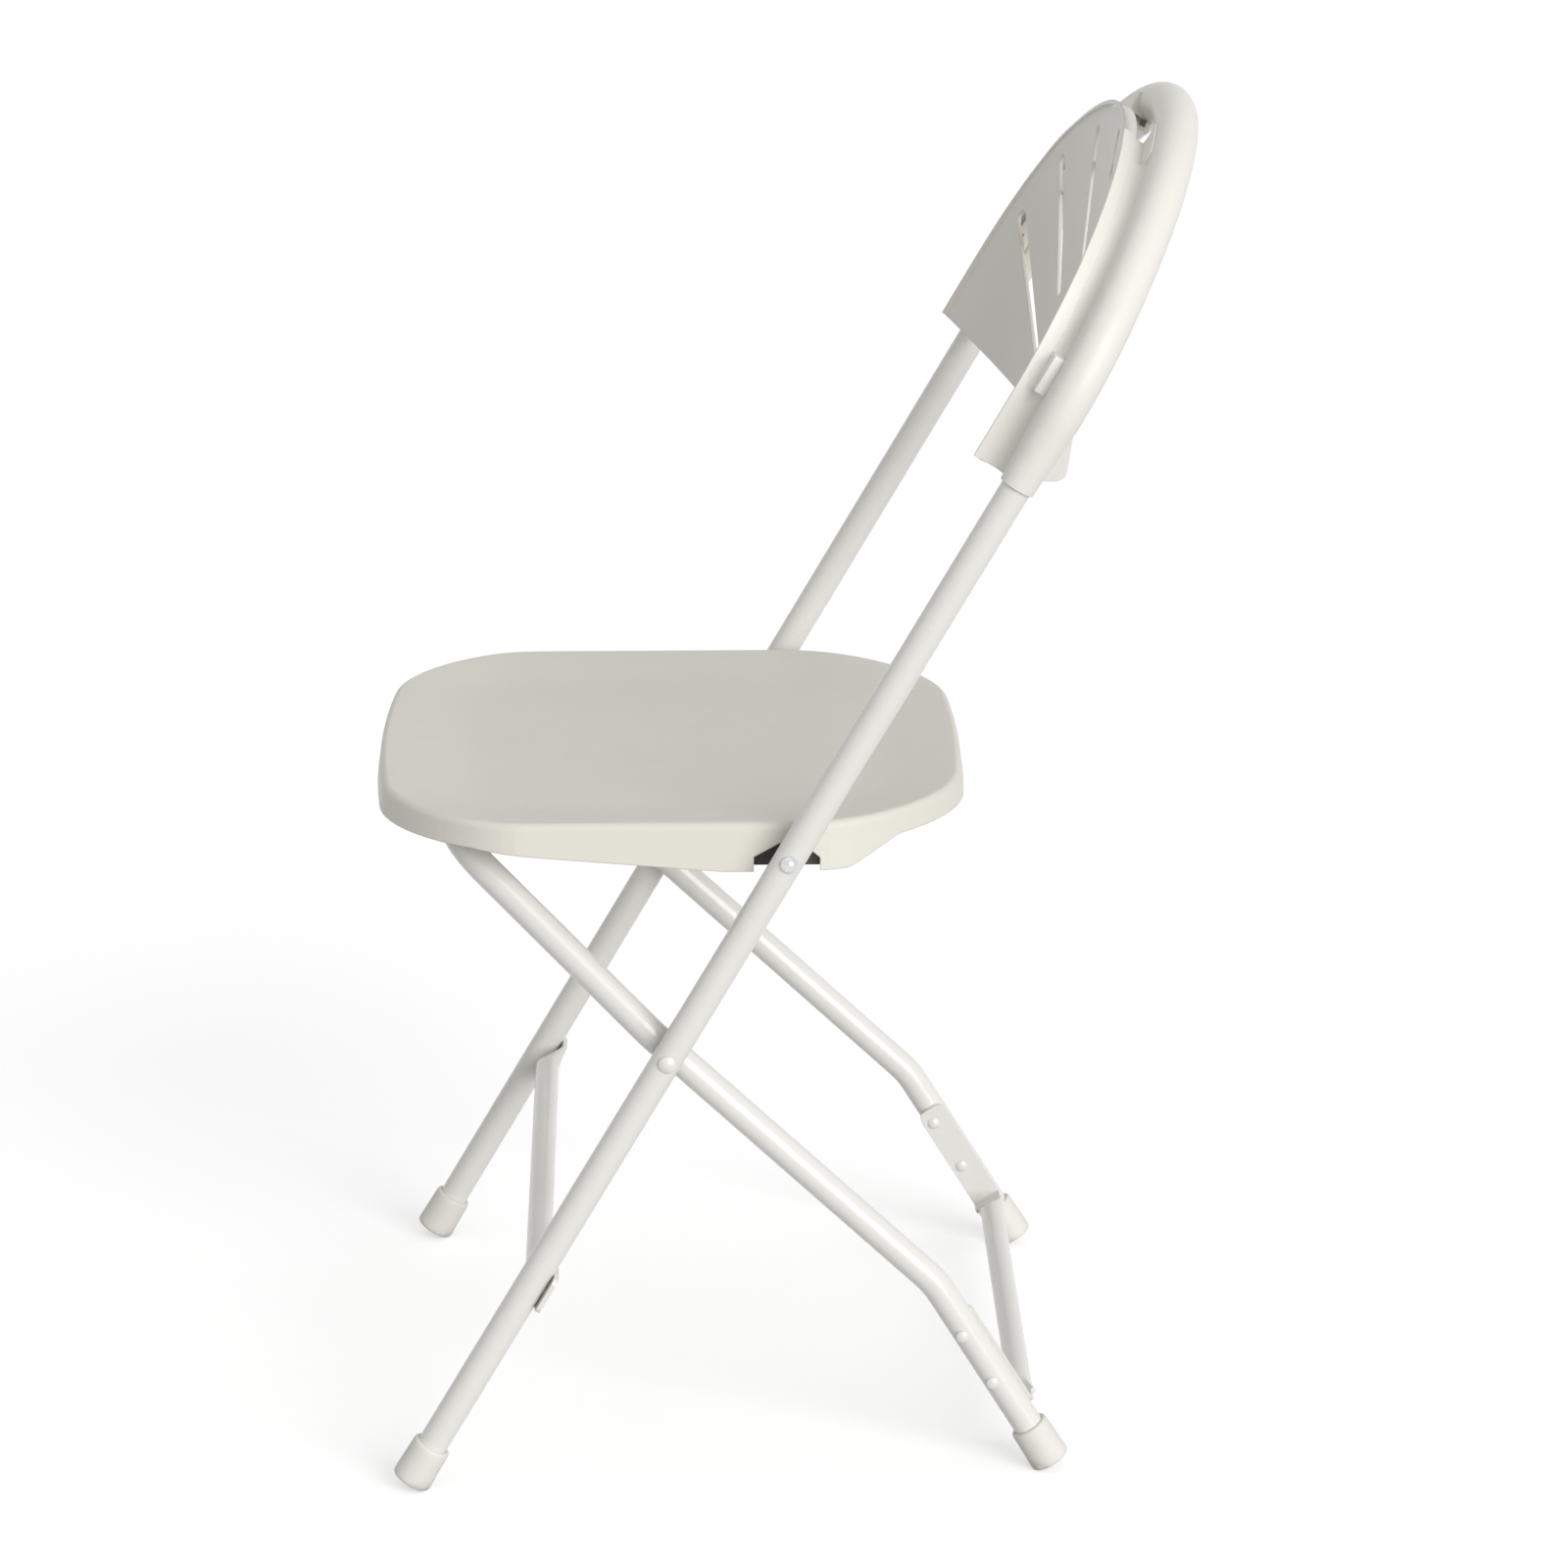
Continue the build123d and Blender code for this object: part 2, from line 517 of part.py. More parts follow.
def arch_tube():
    """Two sleeves that thicken upwards into one round arch."""
    path = Plane.XZ * Wire(arch_edges(HALF, ARCH_SPRING, BACK_TOP, ARCH_SIDE_R))
    body = sweep(Pos(HALF, 0, ARCH_SPRING) * Circle(ARCH_R), path=path)
    sleeve = Cone(SLEEVE_R, ARCH_R, ARCH_SPRING - SLEEVE_END, align=ON_FLOOR)
    for side in (1, -1):
        body += Pos(side * HALF, 0, SLEEVE_END) * sleeve
    return body


def rim_ring(inset, wall):
    return fan_face(inset) - fan_face(inset + wall, FAN_BOTTOM - FAN_SPARE)


def back_rim():
    """Lip, shelf, neck and web that carry the fan panel on the sleeves and the arch."""
    lip_back = FAN_FRONT + LIP_DEPTH
    web_half = PANEL_WALL / 2
    body = slab(rim_ring(0, PANEL_WALL), FAN_FRONT, lip_back)
    body += slab(rim_ring(0, NECK_INSET), lip_back - PANEL_WALL, lip_back)
    body -= key_scoop()
    body += slab(rim_ring(NECK_INSET - PANEL_WALL, PANEL_WALL), lip_back - PANEL_WALL, web_half)
    gap = arch_face(HALF, FAN_BOTTOM, ARCH_SPRING, BACK_TOP, ARCH_SIDE_R)
    gap -= fan_face(0, FAN_BOTTOM - FAN_SPARE)
    web = slab(gap + rim_ring(0, NECK_INSET), -web_half, web_half)
    groove_end = gap & Pos(0, BACK_TOP) * Rectangle(2 * BRIDGE_HALF, BRIDGE_HALF)
    bridge = slab(groove_end, lip_back - PANEL_WALL, web_half)
    return body + web + bridge - handle_opening()


def handle_opening():
    """What is cut for the hand, behind the lip and under the arch tube."""
    centre, top_r, _ = arch_shape(FAN_HALF, FAN_SPRING, FAN_TOP, FAN_SIDE_R)
    height = HANDLE_BELOW + HANDLE_ABOVE
    middle_r = top_r + (HANDLE_ABOVE - HANDLE_BELOW) / 2
    reach = degrees((HANDLE_HALF - height / 2) / middle_r)
    arc = CenterArc((0, centre), middle_r, 90 - reach, 2 * reach)
    return slab(SlotArc(arc, height), FAN_FRONT + HANDLE_LIP, -FAN_FRONT)


def handle_roll(inset, radius):
    """What lies between the corner of panel and lip, moved in by the inset, and the arc that rounds it."""
    centre, top_r, _ = arch_shape(FAN_HALF, FAN_SPRING, FAN_TOP, FAN_SIDE_R)
    fall = FAN_SAG / (FAN_TOP - FAN_BOTTOM)
    corner = Vector(FAN_FRONT + inset * (1 + fall), FAN_TOP - inset)
    size = 3 * radius
    whole = Polygon(corner, corner + Vector(fall * size, -size), corner + Vector(size, 0), align=None)
    rounded = fillet(whole.vertices().sort_by_distance(corner)[0], radius)
    reach = degrees((HANDLE_HALF - HANDLE_BELOW) / top_r)
    axis = Axis((0, 0, centre), (0, 1, 0))
    return revolve((Plane.YZ * (whole - rounded)).rotate(axis, -reach), axis, 2 * reach)


def key_scoop():
    """Thumb recess in the lip beside each lock key."""
    centre = FAN_FRONT + LIP_DEPTH - SCOOP_SHY + (SCOOP_R ** 2 - SCOOP_HALF ** 2) ** 0.5
    cut = Pos(0, centre, KEY_AT) * Rot(0, 90, 0) * Cylinder(SCOOP_R, 2 * HALF)
    keep = 2 * (FAN_HALF - NECK_INSET + PANEL_WALL)
    return cut - Pos(0, 0, KEY_AT) * Box(keep, CUTTER, CUTTER)


def key_block(clearance=0.0):
    grow = 2 * clearance
    block = Box(KEY_WIDTH, KEY_DEPTH + grow, KEY_LENGTH + grow)
    return Pos(FAN_HALF - KEY_SHORT, KEY_FRONT + KEY_DEPTH / 2, KEY_AT) * block


def back_lock_key():
    """Small key pushed outwards through the neck, beside the post."""
    body = key_block()
    body = fillet(body.edges().filter_by(Axis.X), KEY_EDGE_R)
    return POST_FRAME * body


def backrest():
    """The moulded back: fan panel with slots, rim, sleeves and arch with a handle opening."""
    low = FAN_BOTTOM - FAN_SPARE
    body = fan_sheet(PANEL_WALL, 0, fan_face(0, low))
    rib = fan_face(BACK_RIB_INSET, low) - fan_face(BACK_RIB_INSET + BACK_RIB_WALL, low - FAN_SPARE)
    for turn in SLOT_TURNS:
        slot = fan_slot(turn)
        body -= slot
        if turn:
            body -= mirrored(slot)
    body += fan_sheet(BACK_RIB_DEPTH, PANEL_WALL - BACK_RIB_ROOT, rib)
    body += back_rim()
    body += handle_roll(PANEL_WALL, ROLL_R - PANEL_WALL)
    body -= handle_roll(0, ROLL_R)
    body += arch_tube()
    for side in (1, -1):
        socket = extrude(Circle(TUBE_R + FIT), POST_END + SOCKET_ROOM - SLEEVE_END + ARCH_R)
        body -= Pos(side * HALF, 0, SLEEVE_END - ARCH_R) * socket
        hole = key_block(KEY_CLEARANCE)
        body -= hole if side > 0 else mirrored(hole)
    return POST_FRAME * body


# ---- moulded seat --------------------------------------------------------------------------------------
def seat_face(inset, height):
    """The seat's outline, moved inwards by the inset."""
    half, front, back = SEAT_HALF - inset, SEAT_FRONT + inset, SEAT_BACK - inset
    corners = ((half, front), (half, back), (-half, back), (-half, front))
    front_r, rear_r = max(SEAT_FRONT_R - inset, SEAT_CORNER_MIN), max(SEAT_REAR_R - inset, SEAT_CORNER_MIN)
    outline = FilletPolyline(*corners, close=True, radius=[front_r, rear_r, rear_r, front_r])
    return Plane.XY.offset(height) * make_face(outline)


def seat_block(inset, top):
    """Solid of the seat's outer form, narrower towards its top edge."""
    return loft([seat_face(inset, SKIRT_LOW), seat_face(inset + SKIRT_FLARE, top)], ruled=True)


def seat_hollow(drop, rounding=0.0):
    """Everything above the dish that the sitter sits in, or above a surface that far below it."""
    top = SEAT_HEIGHT - drop
    body = loft([seat_face(CREST_INSET, top), seat_face(DISH_INSET, top - SEAT_DISH)], ruled=True)
    if rounding:
        floor = body.faces().sort_by(Axis.Z)[0]
        body = fillet(floor.edges(), rounding)
    return body + extrude(seat_face(CREST_INSET, top), drop + SEAT_WALL)


def skirt_cut():
    """Everything under the skirt's lower edge, drawn from the side."""
    deep_start, deep_end = SEAT_PIVOT.Y - DEEP_FRONT, SEAT_PIVOT.Y + DEEP_BEHIND
    rear = max(SEAT_BACK - SKIRT_REAR_RUN, deep_end + SKIRT_RISE_MIN)
    start, end = SEAT_FRONT - SKIRT_LINE_R, SEAT_BACK + SKIRT_LINE_R
    line = [
        (start, SKIRT_FRONT), (SEAT_FRONT + SKIRT_FRONT_RUN, SKIRT_FRONT), (deep_start, SKIRT_DEEP),
        (deep_end, SKIRT_DEEP), (rear, SKIRT_REAR), (end, SKIRT_REAR),
    ]
    edge = bent_wire([Vector(0, y, SEAT_HEIGHT - drop) for y, drop in line], [SKIRT_LINE_R] * 4)
    under = Polyline(edge @ 1, (0, end, 0), (0, start, 0), edge @ 0)
    face = make_face(edge.edges() + under.edges())
    return Pos(-HALF, 0, 0) * extrude(face, 2 * HALF, dir=(1, 0, 0))


def pocket_cut():
    """Window in the skirt beside the pivot, through which the bracket shows."""
    low = SEAT_HEIGHT - SKIRT_DEEP
    half = POCKET_WIDTH / 2
    face = Polygon(
        (-half, -POCKET_UNDER), (-half, POCKET_FRONT_RISE), POCKET_PEAK,
        (half - POCKET_SHOULDER[0], POCKET_SHOULDER[1]), (half, POCKET_REAR_RISE), (half, -POCKET_UNDER),
        align=None)
    window = Plane.YZ.offset(SEAT_HALF - POCKET_IN) * Pos(SEAT_PIVOT.Y, low) * face
    return extrude(window, POCKET_DEPTH, dir=(1, 0, 0))


def seat_pads():
    """Bosses under the seat, for the brackets, the hooks and the bar."""
    body = []
    for side in (-1, 1):
        y = SEAT_PIVOT.Y + side * (FLANGE_GAP + BRACKET_HALF) / 2
        x = (FLANGE_X + BRACKET_X) / 2
        pad = Box(BRACKET_X - FLANGE_X, BRACKET_HALF - FLANGE_GAP, UNDER_HEIGHT, align=ON_FLOOR)
        body.append(Pos(x, y, FLANGE_TOP) * pad)
    pad = Box(HOOK_WIDTH + 2 * HOOK_PAD_SIDE, HOOK_PAD_LENGTH, UNDER_HEIGHT, align=ON_FLOOR)
    body.append(Pos(HOOK_X, BAR.Y - HOOK_PAD_AHEAD, HOOK_TOP) * pad)
    return body


def seat_ribs():
    """Ribs under the seat, behind the bar."""
    low = SEAT_HEIGHT - SEAT_DISH - SEAT_WALL - RIB_DEPTH
    front, back = BAR.Y + RIBS_FROM_BAR, SEAT_BACK - RIBS_FROM_BACK
    wide = 2 * (SEAT_HALF - SEAT_REAR_R)
    along = Box(RIB_WALL, back - front, UNDER_HEIGHT, align=ON_FLOOR)
    across = Box(wide, RIB_WALL, UNDER_HEIGHT, align=ON_FLOOR)
    pitch_x = (wide - RIB_WALL) / (RIB_COUNT - 1)
    pitch_y = (back - front) / RIB_COUNT
    body = []
    for row in range(RIB_COUNT):
        body.append(Pos(-wide / 2 + RIB_WALL / 2 + row * pitch_x, (front + back) / 2, low) * along)
        body.append(Pos(0, front + (row + 0.5) * pitch_y, low) * across)
    return body


def seat_pan():
    """The moulded seat: a dished shell with a skirt, ribs, bosses and pockets."""
    block = seat_block(0, SEAT_HEIGHT)
    top_edges = block.faces().sort_by(Axis.Z)[-1].edges()
    block = fillet(top_edges, SEAT_EDGE_R)
    inside = seat_block(SEAT_WALL, SEAT_HEIGHT - SEAT_WALL) - seat_hollow(SEAT_WALL)
    body = block - inside
    for solid in seat_ribs():
        body += solid & inside
    for solid in seat_pads():
        body += solid & inside
        body += mirrored(solid) & inside
    body -= seat_hollow(0, DISH_R)
    body -= skirt_cut()
    bush_hole = along_x(BUSH_R + SEAT_OF_PART, BRACKET_X + BRACKET_THICK, HALF, SEAT_PIVOT)
    for solid in (pocket_cut(), bush_hole, *seat_screw_shanks()):
        body -= solid
        body -= mirrored(solid)
    return body


def seat_bracket():
    """Black steel bracket: an upright round the bolt and two flanges screwed up into the seat."""
    low, high = SEAT_HEIGHT - SKIRT_DEEP + BRACKET_ABOVE, SEAT_PIVOT.Z + BRACKET_EAR
    half, gap, cut = BRACKET_HALF, FLANGE_GAP, BRACKET_CORNER
    face = Polygon(
        (-half + cut, low), (half - cut, low), (half, low + cut), (half, FLANGE_TOP), (gap, FLANGE_TOP),
        (gap, high), (-gap, high), (-gap, FLANGE_TOP), (-half, FLANGE_TOP), (-half, low + cut), align=None)
    upright = Plane.YZ.offset(BRACKET_X) * Pos(SEAT_PIVOT.Y, 0) * face
    body = extrude(upright, BRACKET_THICK, dir=(1, 0, 0))
    for side in (-1, 1):
        y = SEAT_PIVOT.Y + side * (gap + half) / 2
        flange = Box(FLANGE_WIDTH, half - gap, BRACKET_THICK)
        body += Pos(FLANGE_X + FLANGE_WIDTH / 2, y, FLANGE_TOP - BRACKET_THICK / 2) * flange
        body -= Pos(*screw_place(side)) * Cylinder(SCREW_R + FIT, UNDER_HEIGHT)
    return body - along_x(BOLT_R + PIN_CLEARANCE, FLANGE_X, HALF, SEAT_PIVOT)


def screw_place(side):
    return (FLANGE_X + FLANGE_SCREW_IN, SEAT_PIVOT.Y + side * (FLANGE_GAP + BRACKET_HALF) / 2, FLANGE_TOP)


def hook_screw_place():
    return (HOOK_X, BAR.Y - HOOK_SCREW_AHEAD, HOOK_TOP)


def bar_hook():
    """Steel hook that stops the bar at the front; its lower end is bent away as a lead-in."""
    top, wall = HOOK_TOP, BRACKET_THICK
    back = BAR.Y - GLIDE_R - SEAT_OF_PART
    front = back - wall
    low, lead = BAR.Z - HOOK_DROP, HOOK_LEAD
    bend = wall * tan(radians(22.5))
    face = Polygon(
        (front - HOOK_FOOT, top), (back, top), (back, low), (back - lead, low - lead),
        (back - lead - wall, low - lead + wall), (front, low + bend), (front, top - wall),
        (front - HOOK_FOOT, top - wall), align=None)
    body = extrude(Plane.YZ.offset(HOOK_X - HOOK_WIDTH / 2) * face, HOOK_WIDTH, dir=(1, 0, 0))
    return body - Pos(*hook_screw_place()) * Cylinder(SCREW_R + FIT, UNDER_HEIGHT)


def pan_screw(thickness):
    """Screw up into the seat: its head under a steel part, its shank in the boss."""
    head = Pos(0, 0, -SCREW_HEAD_H / 2) * Cone(SCREW_FACE_R, SCREW_HEAD_R, SCREW_HEAD_H)
    return Pos(0, 0, -thickness) * (head + extrude(Circle(SCREW_R), SCREW_LENGTH))


def seat_screw_places():
    return (screw_place(-1), screw_place(1), hook_screw_place())


def seat_screw_shanks():
    depth = SCREW_LENGTH - BRACKET_THICK + SCREW_ROOM
    return [Pos(*place) * Cylinder(SCREW_R, 2 * depth) for place in seat_screw_places()]


def seat_screws():
    """The six screws of the brackets and the hooks."""
    right = [Pos(*place) * pan_screw(BRACKET_THICK) for place in seat_screw_places()]
    return right + [mirrored(screw) for screw in right]


# ---- rear legs --------------------------------------------------------------------------------------------
def rear_leg_frame():
    """One bent tube: both rear legs and the bar under the seat."""
    def at(point, x):
        return Vector(x, point.Y, point.Z)

    foot = REAR_FOOT - LOWER * CAP_FLOOR
    right = [at(foot, LEG_X), at(LEG_BEND, LEG_X), at(LEG_TURN, LEG_X), at(BAR, BAR_HALF)]
    points = right + [at(point, -point.X) for point in reversed(right)]
    radii = [BEND_R, BEND_R, CORNER_R, CORNER_R, BEND_R, BEND_R]
    ring = Circle(TUBE_R) - Circle(TUBE_R - TUBE_WALL)
    body = sweep(Plane(points[0], z_dir=points[1] - points[0]) * ring, path=bent_wire(points, radii))
    for side in (1, -1):
        x0, x1 = side * (LEG_X - TUBE_OD), side * (LEG_X + TUBE_OD)
        body -= along_x(RIVET_R + PIN_CLEARANCE, x0, x1, LEG_PIVOT)
        for along in TAB_RIVETS:
            body -= LEG_FRAME * along_x(BRACE_RIVET_R + FIT, x0, x1, Vector(0, -TAB_RIVET_FORWARD, along))
    return body


def rear_brace():
    """Cross tube near the floor, its crushed ends bent up against the legs."""
    outer = LEG_X - TUBE_R
    inner = outer - BLADE_THICK
    flat = outer - TAB_TURN
    straight = flat - TAB_TAPER
    top = TAB_TOP_AT - REAR_BRACE_AT
    half_thick = BLADE_THICK / 2
    body = along_x(BRACE_OD / 2, -straight, straight)
    for side in (1, -1):
        end = Rot(90, 0, 0) * crushed_end(straight, flat, TAB_WIDTH)
        profile = Polygon(
            (flat, -half_thick), (outer, -half_thick), (outer, top), (inner, top), (inner, half_thick),
            (flat, half_thick), align=None)
        bends = (((outer, -half_thick), TAB_BEND_R), ((inner, half_thick), TAB_BEND_R - BLADE_THICK))
        for corner, radius in bends:
            profile = fillet(profile.vertices().sort_by_distance(Vector(corner))[0], radius)
        strap = extrude(Plane.XZ.offset(TAB_WIDTH / 2) * profile, TAB_WIDTH, dir=(0, 1, 0))
        strap = fillet(strap.edges().filter_by(Axis.X).group_by(Axis.Z)[-1], TAB_CORNER_R)
        for along in TAB_RIVETS:
            line = Vector(0, -TAB_RIVET_FORWARD, along - REAR_BRACE_AT)
            strap -= along_x(BRACE_RIVET_R + FIT, inner - BLADE_THICK, outer + BLADE_THICK, line)
        end += Pos(0, -REAR_BRACE_SETBACK, 0) * strap
        body += end if side > 0 else mirrored(end)
    body -= brace_bore(straight)
    return LEG_FRAME * Pos(0, REAR_BRACE_SETBACK, REAR_BRACE_AT) * body


def tab_rivets():
    """Two rivets through each tab and leg."""
    inner = LEG_X - TUBE_R - BLADE_THICK
    outer = LEG_X + TUBE_R
    head = plain_head(BRACE_HEAD_R, BRACE_HEAD_H)
    right = []
    for along in TAB_RIVETS:
        place = Plane((inner, -TAB_RIVET_FORWARD, along), z_dir=(1, 0, 0))
        right.append(LEG_FRAME * (place * rivet(BRACE_RIVET_R, outer - inner, head, head)))
    return right + [mirrored(solid) for solid in right]


def rear_foot_cap():
    return LEG_FRAME * Pos(LEG_X, 0, 0) * foot_cap() - floor_cut()


def bar_glide():
    """Nylon sleeve on the bar, where it rests in a hook."""
    ring = extrude(Circle(GLIDE_R) - Circle(TUBE_R + FIT), HOOK_WIDTH + 2 * GLIDE_PAST_HOOK)
    return Plane((HOOK_X - HOOK_WIDTH / 2 - GLIDE_PAST_HOOK, BAR.Y, BAR.Z), z_dir=(1, 0, 0)) * ring


def pair(shape):
    return [shape, mirrored(shape)]


def all_pieces():
    """Every node's solids, at the chair's right and left. Left is +X, the sitter's left."""
    pieces = {
        "backrest": backrest(),
        "front_brace": front_brace(),
        "front_brace_rivets": pair(brace_rivet()),
        "front_foot_caps": pair(front_foot_cap()),
        "leg_pivot_rivets": pair(leg_pivot_rivet()),
        "leg_spacers": pair(leg_spacer()),
        "seat_bolts": pair(seat_bolt()),
        "seat_bolt_bushes": pair(seat_bolt_bush()),
        "seat_bolt_nuts": pair(seat_bolt_nut()),
        "seat_pan": seat_pan(),
        "seat_screws": seat_screws(),
        "rear_leg_frame": rear_leg_frame(),
        "rear_brace": rear_brace(),
        "rear_brace_rivets": tab_rivets(),
        "rear_foot_caps": pair(rear_foot_cap()),
        "bar_glides": pair(bar_glide()),
    }
    sided = {
        "post": post(),
        "back_lock_key": back_lock_key(),
        "seat_bracket": seat_bracket(),
        "bar_hook": bar_hook(),
    }
    for name, shape in sided.items():
        pieces[f"{name}_left"] = shape
        pieces[f"{name}_right"] = mirrored(shape)
    return pieces


if __name__ == "__main__":
    os.makedirs("parts", exist_ok=True)
    for name, shape in all_pieces().items():
        if isinstance(shape, list):
            shape = Compound(children=shape)
        export_step(MIDDLE * shape, f"parts/{name}.step")
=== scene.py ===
"""Finishes, fittings and studio of the folding chair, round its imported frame."""
import json
import math

import bmesh
import bpy
from bpy.props import FloatProperty, FloatVectorProperty, PointerProperty
from mathutils import Matrix, Vector

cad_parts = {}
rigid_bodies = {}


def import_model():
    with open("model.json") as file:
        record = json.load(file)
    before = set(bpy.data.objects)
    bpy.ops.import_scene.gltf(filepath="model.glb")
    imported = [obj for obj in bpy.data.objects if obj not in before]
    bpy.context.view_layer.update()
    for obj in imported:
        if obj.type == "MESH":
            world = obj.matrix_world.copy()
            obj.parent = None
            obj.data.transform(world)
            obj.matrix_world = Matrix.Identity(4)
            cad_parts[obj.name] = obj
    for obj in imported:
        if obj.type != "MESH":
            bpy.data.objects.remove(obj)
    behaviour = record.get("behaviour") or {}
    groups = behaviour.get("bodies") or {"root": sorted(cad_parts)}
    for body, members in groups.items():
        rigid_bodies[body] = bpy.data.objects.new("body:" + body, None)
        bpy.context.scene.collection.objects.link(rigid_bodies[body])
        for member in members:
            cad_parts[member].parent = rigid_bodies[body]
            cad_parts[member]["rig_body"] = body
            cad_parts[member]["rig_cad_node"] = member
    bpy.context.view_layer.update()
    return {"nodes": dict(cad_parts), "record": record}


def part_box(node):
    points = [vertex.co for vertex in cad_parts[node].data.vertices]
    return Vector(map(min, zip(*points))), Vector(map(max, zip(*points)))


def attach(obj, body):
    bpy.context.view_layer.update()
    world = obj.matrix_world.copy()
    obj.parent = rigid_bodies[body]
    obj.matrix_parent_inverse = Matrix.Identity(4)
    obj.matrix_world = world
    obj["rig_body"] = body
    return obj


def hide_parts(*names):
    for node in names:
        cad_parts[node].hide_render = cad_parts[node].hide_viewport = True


bl_info = {
    "name": "Folding chair finishes",
    "version": (1, 0, 0),
    "blender": (4, 5, 0),
    "location": "View3D > Sidebar > Chair",
    "description": "Paint, moulded plastic, fasteners, feet and a studio for the folding chair",
    "category": "Object",
}

for default_object in list(bpy.data.objects):
    bpy.data.objects.remove(default_object)
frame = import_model()
PLACES = {joint["name"]: Vector(joint["pos_m"]) for joint in frame["record"]["behaviour"]["joints"]}
SEAT_PIVOT = PLACES["seat_fold"]
LEG_PIVOT = PLACES["leg_fold"]
POST_UP = (SEAT_PIVOT - LEG_PIVOT).normalized()
BEHIND = Vector((0, POST_UP.z, -POST_UP.y))
ACROSS = Vector((1, 0, 0))
BACKWARDS = Vector((0, 1, 0))
UPWARDS = Vector((0, 0, 1))
ORIGIN = (0, 0, 0)
MM = 0.001
JOIN = 0.002 * MM        # points closer than this are one
CUT_JOIN = 0.001 * MM    # and where a plane cuts a piece


# ---- settings ----
def length(name, description, millimetres):
    return FloatProperty(
        name=name, description=description, default=millimetres * MM, min=0.0, unit="LENGTH",
        precision=5)


def tint(name, description, default):
    return FloatVectorProperty(
        name=name, description=description, default=default, size=3, min=0.0, max=1.0, subtype="COLOR")


def degrees(name, description, default):
    return FloatProperty(
        name=name, description=description, default=math.radians(default), subtype="ANGLE")


def level(name, description, default):
    return FloatProperty(name=name, description=description, default=default)


class ChairColours(bpy.types.PropertyGroup):
    """Base colours of the finishes, linear."""

    paint: tint("Paint", "Powder coat on the steel tubes", (0.80, 0.785, 0.745))
    back: tint("Back", "Moulded back", (0.835, 0.815, 0.758))
    # seat: painted shade, darker than the back's plastic to stand in for its shaded top
    seat: tint("Seat", "Moulded seat", (0.735, 0.712, 0.64))
    # lock keys: painted highlight, lighter than the back's plastic as if lit
    key: tint("Lock keys", "Small keys beside the posts", (0.90, 0.89, 0.86))
    rubber: tint("Feet", "Rubber caps", (0.79, 0.77, 0.715))
    nylon: tint("Nylon", "Bushes, washers and glides", (0.74, 0.72, 0.66))
    black: tint("Black steel", "Painted brackets", (0.028, 0.027, 0.024))
    chrome: tint("Chrome", "Plated bolts", (0.72, 0.72, 0.72))
    zinc: tint("Zinc", "Plated hooks and screws", (0.56, 0.56, 0.54))


class ChairSizes(bpy.types.PropertyGroup):
    """Sizes of the modelled fasteners and feet, and how the seat's edges are bowed."""

    rivet_radius: length("Rivet radius", "Shank of the pivot rivets", 3.0)
    rivet_head: length("Rivet head", "Radius of the pivot rivets' domed heads", 5.5)
    rivet_rise: length("Rivet rise", "Height of the pivot rivets' domes", 2.2)
    small_radius: length("Small rivet radius", "Shank of the brace rivets", 2.5)
    small_head: length("Small rivet head", "Radius of the brace rivets' heads", 4.0)
    small_rise: length("Small rivet rise", "Height of the brace rivets' heads", 1.6)
    bolt_radius: length("Bolt radius", "Shank of the seat bolts", 3.0)
    bolt_head: length("Bolt head", "Radius of the bolts' domed heads", 5.4)
    bolt_rise: length("Bolt rise", "Height of the bolts' domes", 3.8)
    screw_radius: length("Screw radius", "Shank of the seat screws", 2.1)
    screw_head: length("Screw head", "Radius of the screws' heads", 4.2)
    screw_rise: length("Screw rise", "Height of the screws' heads", 2.0)
    cap_bore: length("Cap bore", "Inside radius of the rubber caps", 9.6)
    cap_length: length("Cap length", "Length of the rubber caps", 28.0)
    foot_height: length("Foot height", "Where a cap's centre line leaves its sole", 4.725)
    rear_foot_height: length("Rear foot height", "The same at the rear caps", 4.942)
    rear_foot_behind: length("Rear foot place", "And how far behind the rear mounts it is", 10.2)
    front_bow: length("Front bow", "How far the seat's front corners are drawn in", 17.0)
    rear_bow: length("Rear bow", "And its rear corners", 14.0)
    bow_reach: length("Bow reach", "How far from the edge that fades out", 118.0)
    rear_lean: degrees("Rear lean", "Lower stretch of the rear legs, from the vertical", 31.6)


